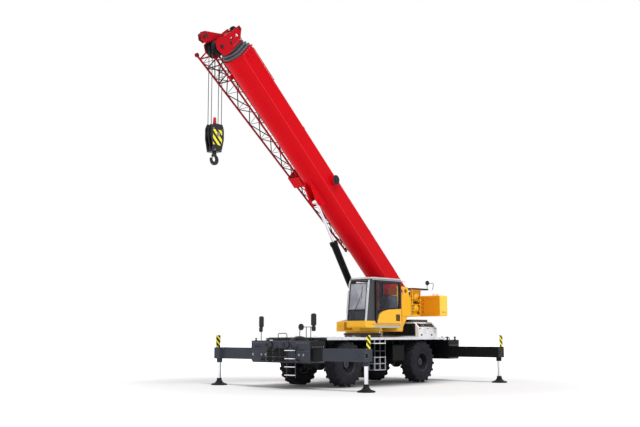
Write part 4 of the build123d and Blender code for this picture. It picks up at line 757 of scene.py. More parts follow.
def rope_wrap_tree():
    """Rope wound side by side on a drum that lies along Z."""
    p = Pattern("rope_wraps", Turns="Float", Drum_radius="Float", Rope_radius="Float")
    wide = p.times(p.times("Turns", p.given["Rope_radius"]), 2.02)
    line = p.node("GeometryNodeCurveSpiral", Resolution=20, Rotations=p.given["Turns"],
                  Start_Radius=p.given["Drum_radius"], End_Radius=p.given["Drum_radius"], Height=wide)
    section = p.node("GeometryNodeCurvePrimitiveCircle", Resolution=6, Radius=p.given["Rope_radius"])
    return p.close(p.node("GeometryNodeCurveToMesh", Curve=line, Profile_Curve=section, Fill_Caps=True))


def lug_ring_tree():
    """Slanted tread bars round the tyre, one row; each wraps over the shoulder."""
    p = Pattern("lug_ring", Count="Int", Radius="Float", Slant="Float", Half_width="Float", First="Float")
    ring = p.node("GeometryNodeMeshCircle", Vertices=p.given["Count"], Radius=p.given["Radius"])
    crown = p.moved(p.node("GeometryNodeMeshCube", Size=(0.075, 0.078, 0.262)),
                    Translation=p.vector(Z=p.times("Half_width", 0.47)),
                    Rotation=p.vector(X=p.given["Slant"]))
    outer = p.vector(X=-0.018, Y=p.times("Slant", -0.115), Z=p.times("Half_width", 0.875))
    shoulder = p.moved(p.node("GeometryNodeMeshCube", Size=(0.09, 0.078, 0.04)), Rotation=(0, 0.12, 0),
                       Translation=outer)
    away = p.node("FunctionNodeAlignRotationToVector", {"axis": "X", "pivot_axis": "Z"},
                  Vector=p.node("GeometryNodeInputPosition"))
    placed = p.node("GeometryNodeInstanceOnPoints", Points=ring, Instance=p.joined(crown, shoulder),
                    Rotation=away)
    return p.close(p.moved(placed, Rotation=p.vector(Z=p.given["First"])))


bolt_ring, bolt_row, slat_row, rope_wraps, lug_ring = (
    tree() for tree in (bolt_ring_tree, bolt_row_tree, slat_row_tree, rope_wrap_tree, lug_ring_tree))


def bolts_round(body, place, count, radius, head, tall, what="bolts_steel"):
    bolt_ring.lay(what, body, "machined_steel", place, Count=count, Ring_radius=radius, Head_radius=head,
                  Head_height=tall)


def bolts(body, along, up, count, spacing, head, tall, *starts, paint="machined_steel"):
    """A like row of bolts from each start."""
    for at in starts:
        bolt_row.lay("bolts_" + SLOT_OF[paint], body, paint, stand(at, up, along), Count=count,
                     Spacing=spacing, Head_radius=head, Head_height=tall)


def slats(what, body, paint, at, along, up, count, spacing, size, tilt=0.0):
    slat_row.lay(what, body, paint, stand(at, up, along), Count=count, Spacing=spacing, Size=size,
                 Tilt=tilt)


# ---------------------------------------------------------------- wheels
def tyre_and_wheel(corner):
    side = 1 if corner.endswith("left") else -1
    body = "wheel_" + corner
    at = stand((AXLES[corner.split("_")[0]], side, AXLE_Z), side)
    half = [(0.337, 0.212), (0.352, 0.236), (0.40, 0.2455), (0.49, 0.253), (0.57, 0.25), (0.64, 0.24),
            (0.683, 0.226), (0.702, 0.2), (0.712, 0.1)]
    tyre = Shape(body, at).turned([(r, -y) for r, y in half] + [(0.714, 0)] + half[::-1], 72)
    for r, y in ((0.44, 0.2505), (0.595, 0.2435)):
        for end in (-1, 1):
            rib = [(r - 0.008, y - 0.008), (r, y + 0.0045), (r + 0.008, y - 0.008)]
            tyre.turned([(a, end * b) for a, b in rib], 72)
    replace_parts(tyre.finish("tyre_carcass_" + corner, "tyre_rubber", angle=50), "tyre_" + corner)
    for turn, first in ((0, 0.0), (math.pi, TAU / 36)):
        lug_ring.lay("tread_lugs", body, "tyre_rubber", at @ Matrix.Rotation(turn, 4, "X"), Count=18,
                     Radius=0.7, Slant=0.62 * side, Half_width=0.262, First=first)
    hub = Shape(body, at)
    hub.turned([(0.115, 0.1), (0.128, 0.108), (0.128, 0.124), (0.112, 0.132), (0.07, 0.134), (0.062, 0.146),
                (0, 0.148)], 28)
    hub.turned([(0.308, 0.212), (0.33, 0.226), (0.335, 0.242), (0.318, 0.24), (0.3, 0.222)], 48)
    hub.rod((0.27, 0, -0.01), (0.285, 0.02, 0.1), 0.006, 8)
    hub.finish("hub_cover_" + corner, "rim_enamel", 0.002)
    for count, radius, height, head, tall in ((10, 0.236, -0.031, 0.019, 0.022),
                                              (12, 0.094, 0.131, 0.009, 0.009)):
        bolts_round(body, at @ Matrix.Translation((0, 0, height)), count, radius, head, tall, "wheel_nuts")


# ---------------------------------------------------------------- carrier
def front_lamps():
    for hand, y, marker_y in (("right", -0.43, -0.62), ("left", 0.34, 0.15)):
        place = stand((NOSE_X + 0.0005, y, 1.415), "x", "y")
        bezel = [(0.092, 0), (0.098, 0.006), (0.098, 0.02), (0.088, 0.024), (0.084, 0.016)]
        lens = [(0.082, 0.002), (0.084, 0.012), (0.06, 0.021), (0.03, 0.025), (0, 0.026)]
        marker = [(0.05, 0), (0.052, 0.01), (0.04, 0.02), (0, 0.026)]
        Shape(place=place).turned(bezel, 28).finish("lamp_bezel_" + hand, "black_enamel", 0.001)
        Shape(place=place).turned(lens, 28).finish("lamp_lens_" + hand, "lens_dark")
        place = stand((NOSE_X - 0.0005, marker_y, 1.42), "x", "y")
        Shape(place=place).turned(marker, 20).finish("marker_" + hand, "dark_trim")


def nose_fittings():
    for side, hand in SIDES:
        y = side * 0.78
        seat = Shape(place=stand((NOSE_X, y, 0.93), "x",
                                 "y")).blocks((-0.075, 0.075, -0.06, 0.06, 0, 0.012))
        seat.finish("tow_seat_" + hand, "black_enamel", 0.003)
        bolts("chassis", "z", "x", 2, 0.08, 0.011, 0.009, (4.293, y - 0.055, 0.89),
              (4.293, y + 0.055, 0.89))
    for count, spacing, head, tall, z, *starts in (
            (1, 0.1, 0.034, 0.022, 1.09, -1.225), (2, 0.193, 0.03, 0.02, 1.09, -0.836, 0.836),
            (14, 0.062, 0.008, 0.006, 1.47, -1.26), (9, 0.062, 0.008, 0.006, 1.47, 0.72)):
        bolts("chassis", "y", "x", count, spacing, head, tall, *[(NOSE_X, y, z) for y in starts])
    face = (4.2785, 4.2845)
    seams = Shape().blocks((*face, -1.3, -0.69, 1.20, 1.208), (*face, 0.72, 1.3, 1.20, 1.208),
                           (*face, -0.68, 0.29, 1.02, 1.028), (*face, -0.04, -0.034, 0.87, 1.5))
    seams.finish("nose_seams", "grey_enamel", 0.001)
    face = (4.2802, 4.2835)
    bay = Shape().blocks((*face, -0.6, -0.3, 0.86, 1.3), (*face, -0.27, 0.28, 0.88, 1.0))
    bay.plate([(-0.27, 1.05), (0.28, 1.05), (0.28, 1.24), (0.2, 1.3), (-0.2, 1.3), (-0.27, 1.24)], *face,
              "x")
    bay.finish("nose_bays", "black_enamel", 0.001)
    bolts("chassis", "z", "x", 4, 0.12, 0.01, 0.008, (4.2836, -0.58, 0.9), (4.2836, -0.33, 0.9))
    top = Shape()
    low = [(0, 0), (0.042, 0), (0.042, 0.012), (0.022, 0.02), (0.022, 0.05), (0.034, 0.056), (0.034, 0.078),
           (0, 0.082)]
    high = [(0, 0), (0.05, 0), (0.05, 0.012), (0.028, 0.02), (0.028, 0.08), (0.042, 0.088), (0.042, 0.12),
            (0, 0.126)]
    for x in (3.66, 4.18):
        for y in (-1.2, -0.62, 0.62, 1.2):
            top.turned(low, 14, stand((x, y, BOX_TOP_Z))).turned(high, 14, stand((-x, y, BOX_TOP_Z)))
    for y in (-1.0, -0.35, 0.35, 1.0):
        top.run([(-3.7, y, 1.545), (-3.7, y, 1.6), (-3.85, y + 0.03, 1.64), (-4.05, y + 0.02, 1.62),
                 (-4.1, y, 1.545)], 0.014)
    top.finish("box_top_fittings", "black_enamel", 0.001)
    handle = Shape()
    for z, ys in ((1.25, (0.82, 0.82, 0.86, 0.98, 1.02, 1.02)),
                  (1.35, (-0.9, -0.9, -0.94, -1.1, -1.14, -1.14))):
        handle.run([(x, y, z) for x, y in zip((4.28, 4.3, 4.302, 4.302, 4.3, 4.28), ys)], 0.008)
    handle.finish("nose_handles", "black_enamel")
    hoses = Shape()
    for y, z in ((-0.2, 1.16), (-0.12, 1.14), (0.1, 1.18), (0.02, 1.12)):
        hoses.run([(NOSE_X, y, z), (4.297, y, z), (4.3, y + 0.05, z - 0.1), (4.3, y + 0.02, z - 0.22),
                   (NOSE_X, y + 0.03, z - 0.25)], 0.009)
        hoses.rod((4.278, y, 1.16), (4.29, y, 1.16), 0.016, 6)
    for y, wide, z in ((-0.5, 0.17, 1.42), (-0.42, 0.3, 1.37), (0.18, 0.22, 1.44), (0.52, 0.26, 1.4),
                       (0.6, 0.14, 1.33)):
        hoses.run([(x, y + dy, z - drop) for x, dy, drop in (
            (NOSE_X, 0, 0), (4.305, 0, 0.01), (4.315, 0.03, 0.1), (4.315, wide / 2, 0.17),
            (4.315, wide - 0.03, 0.1), (4.305, wide, 0.01), (NOSE_X, wide, 0))], 0.011)
    hoses.finish("nose_hoses", "hose_rubber")
    walls = Shape().blocks(*[(3.6, 4.24, y, y + 0.014, 1.318, 1.5) for y in (-1.31, 1.296)])
    walls.finish("box_end_caps", "black_enamel", 0.003)


def box_screws(x):
    """Slide screws on the ends and top of the outrigger box that starts at x."""
    for side, _ in SIDES:
        bolts("chassis", "x", side, 7, 0.09, 0.012, 0.012,
              *[(x + 0.09, side * 1.3155, z) for z in (0.868, 1.342)])
        bolts("chassis", "x", "z", 5, 0.13, 0.012, 0.01, (x + 0.1, side * 1.18, BOX_TOP_Z))


def deck_fittings():
    lugs = Shape().blocks(*[(x - 0.03, x + 0.03, side * 1.29 - 0.012, side * 1.29 + 0.012, 1.565, 1.63)
                            for side, _ in SIDES for x in (-2.6, -1.2, 1.3, 2.7)])
    lugs.finish("deck_edge_lugs", "bare_aluminium", 0.003)
    hatch = Shape()
    for x0, x1 in ((1.45, 2.15), (2.5, 3.1)):
        for y0 in (0.62, -1.12):
            hatch.blocks((x0, x1, y0, y0 + 0.5, 1.6405, 1.6525))
            for x in (x0 + 0.12, x1 - 0.12):
                hatch.rod((x, y0 - 0.03, DECK_TOP_Z), (x, y0 + 0.05, DECK_TOP_Z), 0.012, 8)
            hatch.run([((x0 + x1) / 2 + dx, y0 + 0.44, DECK_TOP_Z + rise)
                       for dx, rise in ((-0.07, 0), (-0.06, 0.03), (0.06, 0.03), (0.07, 0))], 0.007)
            x0_bolts, y0_bolts = x0 + 0.05, y0 + 0.04
            bolts("chassis", "x", "z", 4, 0.17, 0.009, 0.006, (x0_bolts, y0_bolts, 1.6525))
            bolts("chassis", "x", "z", 2, 0.5, 0.009, 0.006, (x0_bolts, y0_bolts + 0.42, 1.6525))
    hatch.finish("deck_hatches", "deck_enamel", 0.004)
    for side, _ in SIDES:
        bolts("chassis", "x", side, 24, 0.28, 0.008, 0.006, (-3.2, side * 1.333, 1.6))


def mirror_heads():
    """Rounded mirror housings with bright glass."""
    shell, glass = Shape(), Shape()
    for y, z, wide, high in ((-0.93, 2.155, 0.19, 0.36), (-0.95, 1.9, 0.14, 0.15), (1.39, 2.205, 0.2, 0.38),
                             (1.39, 1.925, 0.15, 0.16)):
        place = stand((4.21, y, z), "-x", "y")
        corner = min(wide, high) * 0.28
        middles = [(a * (wide / 2 - corner), b * (high / 2 - corner))
                   for a, b in ((1, 1), (-1, 1), (-1, -1), (1, -1))]
        outline = [(a + corner * math.cos(TAU / 4 * (quarter + k / 4)),
                    b + corner * math.sin(TAU / 4 * (quarter + k / 4)))
                   for quarter, (a, b) in enumerate(middles) for k in range(5)]
        rings = [(1.0, 0.022), (1.04, 0.008), (1.03, -0.012), (0.86, -0.026)]
        shell.add([(a * s, b * s, t) for s, t in rings for a, b in outline],
                  bands(len(rings), len(outline)) + ends(len(rings), len(outline)), place)
        glass.plate([(a * 0.9, b * 0.9) for a, b in outline], 0.0215, 0.0245, "z", place)
    shell.finish("mirror_shells", "dark_trim", 0.002, 40)
    glass.finish("mirror_glass", "hard_chrome")


def axle_fittings():
    for end, x in AXLES.items():
        parts = Shape()
        for side, _ in SIDES:
            y = side * 0.42
            parts.rod((x + 0.14, y, 0.88), (x + 0.14, y, 1.02), 0.075, 16, 0.01)
            parts.rod((x - 0.14, y, 0.88), (x - 0.14, y, 1.0), 0.065, 16, 0.01)
            parts.run([(x + 0.14, y, 1.02), (x + 0.16, side * 0.36, 1.1), (x + 0.1, side * 0.3, 1.16)],
                      0.013)
        parts.finish("brake_pots_" + end, "casting", 0.003)
        bolts_round("chassis", stand((x + 0.19, 0, AXLE_Z), "x"), 12, 0.135, 0.012, 0.012)


def beam_fittings(corner, x):
    """End cap and screws that travel with one outrigger beam."""
    side = 1 if corner.endswith("left") else -1
    body, place = "beam_" + corner, stand((x, side * 3.4105, 1.1), side)
    end = Shape(body).turned([(0, 0), (0.07, 0), (0.07, 0.012), (0.05, 0.02), (0, 0.022)], 24, place)
    end.finish("beam_end_cap_" + corner, "black_enamel", 0.002)
    bolts_round(body, place, 6, 0.09, 0.01, 0.009)
    bolts(body, side, "z", 3, 0.08, 0.012, 0.01, (x, side * 3.0, 1.2975))


def hood_fittings():
    """Louvres, latches, vents, grille and grab rails of the engine hood."""
    for side, hand in SIDES:
        for x in (-3.2, -2.88, -2.56):
            slats("hood_louvres", "chassis", "white_enamel", (x - 0.09, side * 0.902, 1.78), "z", side, 8,
                  0.03, (0.016, 0.2, 0.014), 0.5 * side)
        latch = Shape()
        for x in (-3.05, -2.4):
            latch.blocks((x - 0.04, x + 0.04, side * 0.905 - 0.008, side * 0.905 + 0.008, 1.70, 1.76))
            latch.rod((x, side * 0.9, 1.73), (x, side * 0.922, 1.73), 0.014, 10)
        for x in (-3.3, -2.8, -2.3):
            latch.rod((x - 0.05, side * 0.907, 1.965), (x + 0.05, side * 0.907, 1.965), 0.011, 8)
        latch.finish("hood_latches_" + hand, "dark_trim", 0.002)
    slats("hood_grille", "chassis", "dark_trim", (-2.196, -0.7, 1.92), "y", "x", 29, 0.05,
          (0.008, 0.42, 0.008))
    slats("hood_grille", "chassis", "dark_trim", (-2.193, 0, 1.74), "z", "x", 7, 0.06, (0.007, 1.44, 0.006))
    for side, _ in SIDES:
        slats("hood_vents", "chassis", "black_enamel", (-3.25, side * 0.788, 2.088), "x", (0, side, 1), 8,
              0.125, (0.085, 0.17, 0.012))
        slats("hood_vents", "chassis", "black_enamel", (-3.25, side * 0.55, 2.203), "x", "z", 5, 0.125,
              (0.085, 0.2, 0.012))
    bolts("chassis", "z", "x", 5, 0.1, 0.009, 0.006, (-2.1985, -0.78, 1.72), (-2.1985, 0.78, 1.72))
    rails = Shape()
    for x0, x1, y in ((-3.3, -2.8, 0.3), (-2.7, -2.3, -0.3)):
        rails.run([(x0, y, 2.2), (x0, y, 2.25), (x0 + 0.1, y, 2.27), (x1 - 0.1, y, 2.27), (x1, y, 2.25),
                   (x1, y, 2.2)], 0.011)
    rails.finish("hood_grab_rails", "black_enamel")


def rear_fittings():
    def panel(y, x0, x1, half, low, high, name, paint, bevel):
        piece = Shape(place=stand((-4.2805, y, 1.36), "-x", "y")).blocks((x0, x1, -half, half, low, high))
        piece.finish(name, paint, bevel)
    for side, hand in SIDES:
        panel(side * 1.08, -0.14, 0.14, 0.06, 0, 0.006, "rear_lamp_seat_" + hand, "black_enamel", 0.002)
        panel(side * 1.08, -0.13, 0.0, 0.05, 0.006, 0.012, "rear_lamp_red_" + hand, "lamp_red", 0.004)
        panel(side * 1.08, 0.005, 0.13, 0.05, 0.006, 0.012, "rear_lamp_amber_" + hand, "lamp_amber", 0.004)
    panel(0, -0.26, 0.26, 0.06, 0, 0.005, "blank_plate", "white_enamel", 0.002)
    shaft = Shape()
    for x, far in ((1.98, 1.73), (0.15, 1.77)):
        shaft.turned([(0, 0), (0.07, 0), (0.07, 0.02), (0.045, 0.05), (0.042, far - 0.05),
                      (0.07, far - 0.02), (0.07, far), (0, far)], 20, stand((x, 0, AXLE_Z + 0.01), "-x"))
    shaft.turned([(0, 0), (0.13, 0), (0.15, 0.02), (0.15, 0.08), (0.13, 0.1), (0, 0.1)], 20,
                 stand((0.25, 0, AXLE_Z + 0.01), "-x"))
    shaft.finish("drive_shafts", "casting", 0.002)


# ---------------------------------------------------------------- cab
def cushion(name, size, place, channels=0, crown=0.3):
    """Crowned pad whose sides pull in between its corners, with sewn channels across it."""
    mesh = bmesh.new()
    bmesh.ops.create_cube(mesh, size=2)
    bmesh.ops.subdivide_edges(mesh, edges=mesh.edges[:], cuts=22, use_grid_fill=True)
    for v in mesh.verts:
        x, y, z = v.co
        edge = max(abs(x), abs(y))
        round_off = (1 - abs(x) ** 6 * 0.10 * (1 + abs(y))) * (1 - abs(y) ** 6 * 0.10 * (1 + abs(x)))
        round_off *= 1 - 0.045 * (1 - min(1, (abs(x) ** 4 + abs(y) ** 4) / 2)) * edge ** 8
        puff = 1 + crown * (1 - x * x) * (1 - y * y) * 0.5 - 0.42 * edge ** 7
        across = (x + 1) / 2 * (channels + 1)
        if channels and 0.4 < across < channels + 0.6:
            puff -= 0.16 * math.exp(-((across - round(across)) / 0.09) ** 2)
        v.co = Vector((x * round_off * size[0], y * round_off * size[1], z * puff * size[2]))
    bmesh.ops.transform(mesh, matrix=place, verts=mesh.verts)
    bmesh.ops.recalc_face_normals(mesh, faces=mesh.faces)
    made = bpy.data.meshes.new(name)
    mesh.to_mesh(made)
    mesh.free()
    own(name, made, "seat_cloth", "superstructure", angle=60)


def driver_place():
    """Seat, consoles, steering column and instruments, placed from the floor under the seat's middle."""
    body, floor = "superstructure", Matrix.Translation((0, 1.02, 2.03))
    seat = Shape(body, floor)
    seat.plate([(0.16, 0), (0.46, 0), (0.40, 0.12), (0.42, 0.285), (0.14, 0.285), (0.2, 0.12)], -0.13, 0.13)
    seat.blocks((0.08, 0.52, -0.2, 0.2, 0.285, 0.305), (0.1, 0.3, -0.27, 0.27, 0.262, 0.284))
    for side, hand in SIDES:
        y = side * 0.291
        console = [(0.1, 0.27), (0.3, 0.27), (0.62, 0.47), (0.62, 0.55), (0.52, 0.585), (0.1, 0.56)]
        seat.plate(console, y - 0.036, y + 0.036)
        stick = [(0.032, 0), (0.03, 0.02), (0.02, 0.036), (0.009, 0.05), (0.0085, 0.1), (0.017, 0.118),
                 (0.022, 0.15), (0.021, 0.18), (0.012, 0.197), (0, 0.2)]
        piece = Shape(body, floor).turned(stick, 16, stand((0.55, y, 0.565), (0.12, 0, 1)))
        piece.finish("joystick_" + hand, "dark_trim", angle=50)
        keys = [(0.2 + k * 0.06, 0.235 + k * 0.06, y - 0.018, y + 0.018, 0.566 + k * 0.003,
                 0.578 + k * 0.003) for k in range(4)]
        Shape(body, floor).blocks(*keys).finish("console_keys_" + hand, "panel_orange", 0.002)
    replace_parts(seat.finish("seat_frame", "dark_trim", 0.006), "cab_seat")
    facing, lean = (1, 0, 0.165), (-0.165, 0, 1)
    cushion("seat_cushion", (0.255, 0.215, 0.055), floor @ stand((0.315, 0, 0.365), (-0.06, 0, 1)), 4)
    cushion("back_cushion", (0.3, 0.21, 0.05), floor @ stand((0.045, 0, 0.72), facing, lean), 5)
    cushion("head_cushion", (0.075, 0.125, 0.042), floor @ stand((-0.03, 0, 1.06), facing, lean))
    foot, top = Vector((1.24, 0, 0.02)), Vector((1.06, 0, 0.69))
    tall, place = (top - foot).length, stand(foot, top - foot)
    column = Shape(body, floor).blocks((1.14, 1.33, -0.15, 0.15, 0, 0.016))
    column.turned([(0.07, 0), (0.066, 0.03), (0.044, 0.06), (0.04, tall * 0.55), (0.052, tall * 0.6),
                   (0.05, tall * 0.86), (0.032, tall * 0.9), (0.028, tall + 0.015), (0, tall + 0.02)], 20,
                  place)
    for y in (-0.09, 0.09):
        column.plate([(1.2, 0.016), (1.24, 0.016), (1.32, 0.085), (1.3, 0.09)], y - 0.04, y + 0.04)
    column.finish("steering_column", "dark_trim", 0.002)
    wheel = Shape(body, floor @ place @ Matrix.Translation((0, 0, tall + 0.022)))
    wheel.turned([(0.179 + a, b) for a, b in round_points(0.014, 10)], 40)
    wheel.turned([(0, -0.012), (0.045, -0.01), (0.05, 0.0), (0.04, 0.014), (0, 0.018)], 20)
    for near, far in zip(round_points(0.04, 3, 0.5), round_points(0.172, 3, 0.5)):
        wheel.rod((*near, 0), (*far, 0), 0.009, 8)
    wheel.rod((0.12, 0.12, 0.006), (0.12, 0.12, 0.05), 0.015, 12, 0.004)
    wheel.finish("steering_wheel", "dark_trim", angle=60)
    blind = [(0.95, 3.13), (1.3, 3.13), (1.31, 3.15), (1.31, 3.39), (1.29, 3.41), (0.96, 3.41),
             (0.94, 3.39), (0.94, 3.15)]
    Shape(body).plate(blind, -0.335, -0.322, "x").finish("rear_blind", "panel_orange", 0.003)
    liner = [(0.93, 2.67), (1.32, 2.67), (1.33, 2.69), (1.33, 3.09), (1.31, 3.11), (0.94, 3.11),
             (0.92, 3.09), (0.92, 2.69)]
    Shape(body).plate(liner, -0.335, -0.318, "x").finish("rear_liner", "panel_grey", 0.003)
    dash = Shape(body)
    dash.plate([(1.42, 2.2), (1.55, 2.22), (1.53, 2.42), (1.46, 2.5), (1.36, 2.47), (1.38, 2.3)], 0.66,
               0.96)
    dash.blocks((1.36, 1.385, 0.7, 0.92, 2.48, 2.66))
    dash.run([(1.4, 0.81, 2.44), (1.38, 0.81, 2.48), (1.375, 0.81, 2.5)], 0.012)
    dash.finish("instrument_stand", "dark_trim", 0.006)
    piece = Shape(body).blocks((1.3545, 1.36, 0.715, 0.905, 2.5, 2.645))
    piece.finish("instrument_screen", "panel_grey", 0.001, slot="pane")


def screen(y, z, out=0.0):
    """Point on the raked windscreen's face, or in front of it."""
    return 1.63 - 0.165 * (z - 2.2) / 1.28 + out, y, z


def screen_fittings():
    seal = Shape("superstructure")
    loop = [screen(y, z, -0.004) for y, z in ((0.663, 2.235), (1.377, 2.235), (1.377, 3.475),
                                              (0.663, 3.475))]
    seal.rods(0.011, 8, *zip(loop, loop[1:] + loop[:1]))
    seal.rod(screen(0.663, 2.574, -0.002), screen(1.377, 2.574, -0.002), 0.016, 8)
    seal.finish("screen_seal", "hose_rubber")
    rails = Shape("superstructure")
    rails.rod((screen(0.65, 2.62, 0.005)[0], 0.65, 2.6), screen(1.27, 2.6, 0.005), 0.009, 8)
    for y in (0.605, 1.437):
        rails.run([screen(y, z, out) for z, out in ((2.5, 0), (2.52, 0.03), (2.8, 0.034), (3.2, 0.034),
                                                    (3.28, 0))], 0.009)
    rails.finish("screen_grab_rails", "bare_aluminium")
    wiper = Shape("superstructure")
    for y, low, tip, top, reach in ((0.98, 2.61, 1.2, 3.18, 0.26), (0.9, 2.29, 0.78, 2.5, 0.12)):
        wiper.rod(screen(y, low, 0.002), screen(y, low, 0.03), 0.014, 10)
        wiper.run([screen(y, low, 0.024), screen((y + tip) / 2 + 0.02, (low + top) / 2, 0.026),
                   screen(tip, top, 0.016)], 0.006)
        wiper.rod(screen(tip, top - reach, 0.01), screen(tip, top + reach * 0.8, 0.01), 0.0065, 6)
    wiper.finish("wipers", "hose_rubber")


def cab_fittings():
    body = "superstructure"
    piece = Shape(body).blocks((-0.2, 0.22, 0.8, 1.2, ROOF_Z, 3.72), *[(*box, ROOF_Z, 3.702) for box in (
        (0.26, 1.08, 0.68, 0.7), (0.26, 1.08, 1.34, 1.36), (0.26, 0.28, 0.7, 1.34), (1.06, 1.08, 0.7, 1.34))])
    piece.finish("roof_hatch_frame", "cab_shell_enamel", 0.006)
    bolts(body, "y", "z", 2, 0.32, 0.009, 0.006, (-0.16, 0.84, 3.72), (0.1, 0.84, 3.72))
    gutter = Shape(body)
    for side, _ in SIDES:
        gutter.run([(x, 1.02 + side * half, z) for x, half, z in (
            (-0.36, 0.45, 3.6), (-0.34, 0.452, 3.645), (-0.1, 0.452, 3.66), (1.1, 0.452, 3.66),
            (1.28, 0.45, 3.62), (1.34, 0.448, 3.5))], 0.01)
    gutter.finish("cab_gutters", "cab_shell_enamel")
    piece = Shape(body).blocks((-0.6, 1.3, 1.461, 1.487, 3.595, 3.615),
                               (-0.38, 1.3, 1.461, 1.485, 2.09, 2.108))
    piece.finish("door_rails", "bare_aluminium", 0.002)
    bolts(body, "y", "x", 8, 0.1, 0.008, 0.006, (1.625, 0.64, 2.1), paint="casting")
    bolts(body, "x", "y", 12, 0.125, 0.008, 0.006, (-0.3, 1.461, 2.05), paint="casting")


def door_fittings():
    body = "sliding_door"
    slats("door_louvre", body, "dark_trim", (-0.118, 1.507, 2.235), "z", "y", 9, 0.0225,
          (0.012, 0.195, 0.01), 0.55)
    piece = Shape(body).blocks(*[(x0, x1, DOOR_Y, 1.512, z0, z1) for x0, x1, z0, z1 in (
        (-0.225, -0.01, 2.215, 2.226), (-0.225, -0.01, 2.424, 2.435), (-0.225, -0.214, 2.226, 2.424),
        (-0.021, -0.01, 2.226, 2.424))])
    piece.finish("door_louvre_frame", "dark_trim", 0.001)
    grip = Shape(body).blocks((-0.27, -0.2, DOOR_Y, 1.513, 2.7, 2.84))
    grip.run([(1.02, y, z) for y, z in ((1.5, 2.86), (1.53, 2.88), (1.535, 2.95), (1.535, 3.15),
                                        (1.53, 3.22), (1.5, 3.24))], 0.01)
    grip.run([(-0.235, y, z) for y, z in ((1.512, 2.72), (1.532, 2.74), (1.532, 2.8), (1.512, 2.82))],
             0.007)
    grip.finish("door_grip", "casting", 0.002)
    edge = [(x, 1.5, z) for x, z in ((-0.25, 2.65), (0.43, 2.61), (0.76, 2.54), (0.93, 2.44), (1.0, 2.31),
                                     (1.05, 2.23), (1.05, 3.52), (-0.25, 3.52))]
    Shape(body).rods(0.008, 8, *zip(edge, edge[1:] + edge[:1])).finish("door_seal", "hose_rubber")


# ---------------------------------------------------------------- superstructure
def pin_boss(name, paint, x, z, side, inner, outer):
    profile = [(inner, 0), (outer, 0), (outer, 0.012), (outer - 0.01, 0.018), (inner, 0.018)]
    piece = Shape("superstructure", stand((x, side * SIDE_PLATE_Y, z), side)).turned(profile, 32)
    piece.finish(name, paint, 0.001)


def turntable_fittings():
    body = "superstructure"
    for side, hand in SIDES:
        pin_boss("foot_boss_" + hand, "yellow_enamel", FOOT.x, FOOT.z, side, 0.078, 0.15)
        bolts_round(body, stand((FOOT.x, side * (SIDE_PLATE_Y + 0.018), FOOT.z), side), 8, 0.114, 0.013,
                    0.012)
        pin_boss("side_eye_" + hand, "black_enamel", -1.908, 3.35, side, 0.035, 0.062)
        ribs = Shape(body)
        for x0, x1, z0, z1, z2 in ((-1.7, -1.66, 1.9, 3.2, 3.2), (-0.98, -0.94, 1.9, 2.84, 2.9),
                                   (-2.3, -1.7, 2.42, 2.445, 2.445)):
            ribs.plate([(x0, z0), (x1, z0), (x1, z1), (x0, z2)], side * SIDE_PLATE_Y, side * 0.565)
        ribs.finish("side_plate_ribs_" + hand, "yellow_enamel", 0.004)
        bolts(body, "z", side, 5, 0.1, 0.016, 0.014, (-2.25, side * SIDE_PLATE_Y, 2.5))
    bearing, bare_from = 0.6, 0.42
    for x, y in round_points(bearing, 24, TAU / 48):
        if x < bare_from:
            bolts_round(body, stand((x, y, 1.8905)), 3, 0.001, 0.02, 0.02)
    bolts_round("chassis", stand((0, 0, 1.7905)), 36, 0.49, 0.013, 0.012)
    tank = Shape(body)
    cap = [(0.085, 0), (0.085, 0.012), (0.06, 0.016), (0.056, 0.05), (0.062, 0.056), (0.062, 0.082),
           (0.05, 0.09), (0, 0.092)]
    for x, y in ((-1.35, -0.8), (-0.9, -1.05)):
        tank.turned(cap, 24, stand((x, y, TANK_TOP_Z)))
        bolts_round(body, stand((x, y, TANK_TOP_Z + 0.012)), 6, 0.073, 0.008, 0.007)
    tank.turned([(0.11, 0), (0.11, 0.014), (0.09, 0.02), (0.09, 0.14), (0.08, 0.155), (0, 0.16)], 24,
                stand((-1.35, -1.07, TANK_TOP_Z)))
    tank.finish("tank_caps", "black_enamel", 0.001)
    piece = Shape(body).blocks((-0.8, -0.76, -1.262, -1.2505, 2.15, 2.45),
                               (-1.6, -0.66, -1.256, -1.2505, 2.30, 2.31))
    piece.finish("tank_gauge", "black_enamel", 0.003)
    grip = zip((-1.5, -1.5, -1.45, -0.85, -0.8, -0.8), (-1.25, -1.285, -1.29, -1.29, -1.285, -1.25))
    Shape(body).run([(x, y, 2.52) for x, y in grip], 0.011).finish("tank_rail", "yellow_enamel")
    hoses = Shape(body)
    for i, y in enumerate((-0.3, -0.24, 0.24, 0.3)):
        hoses.run([(-1.655, y, 2.2 + 0.06 * i), (-1.5, y, 2.22 + 0.06 * i), (-1.2, y * 0.9, 2.05),
                   (-0.9, y * 0.9, 1.95), (-0.72, y, 1.915)], 0.014)
    hoses.finish("table_hoses", "hose_rubber")


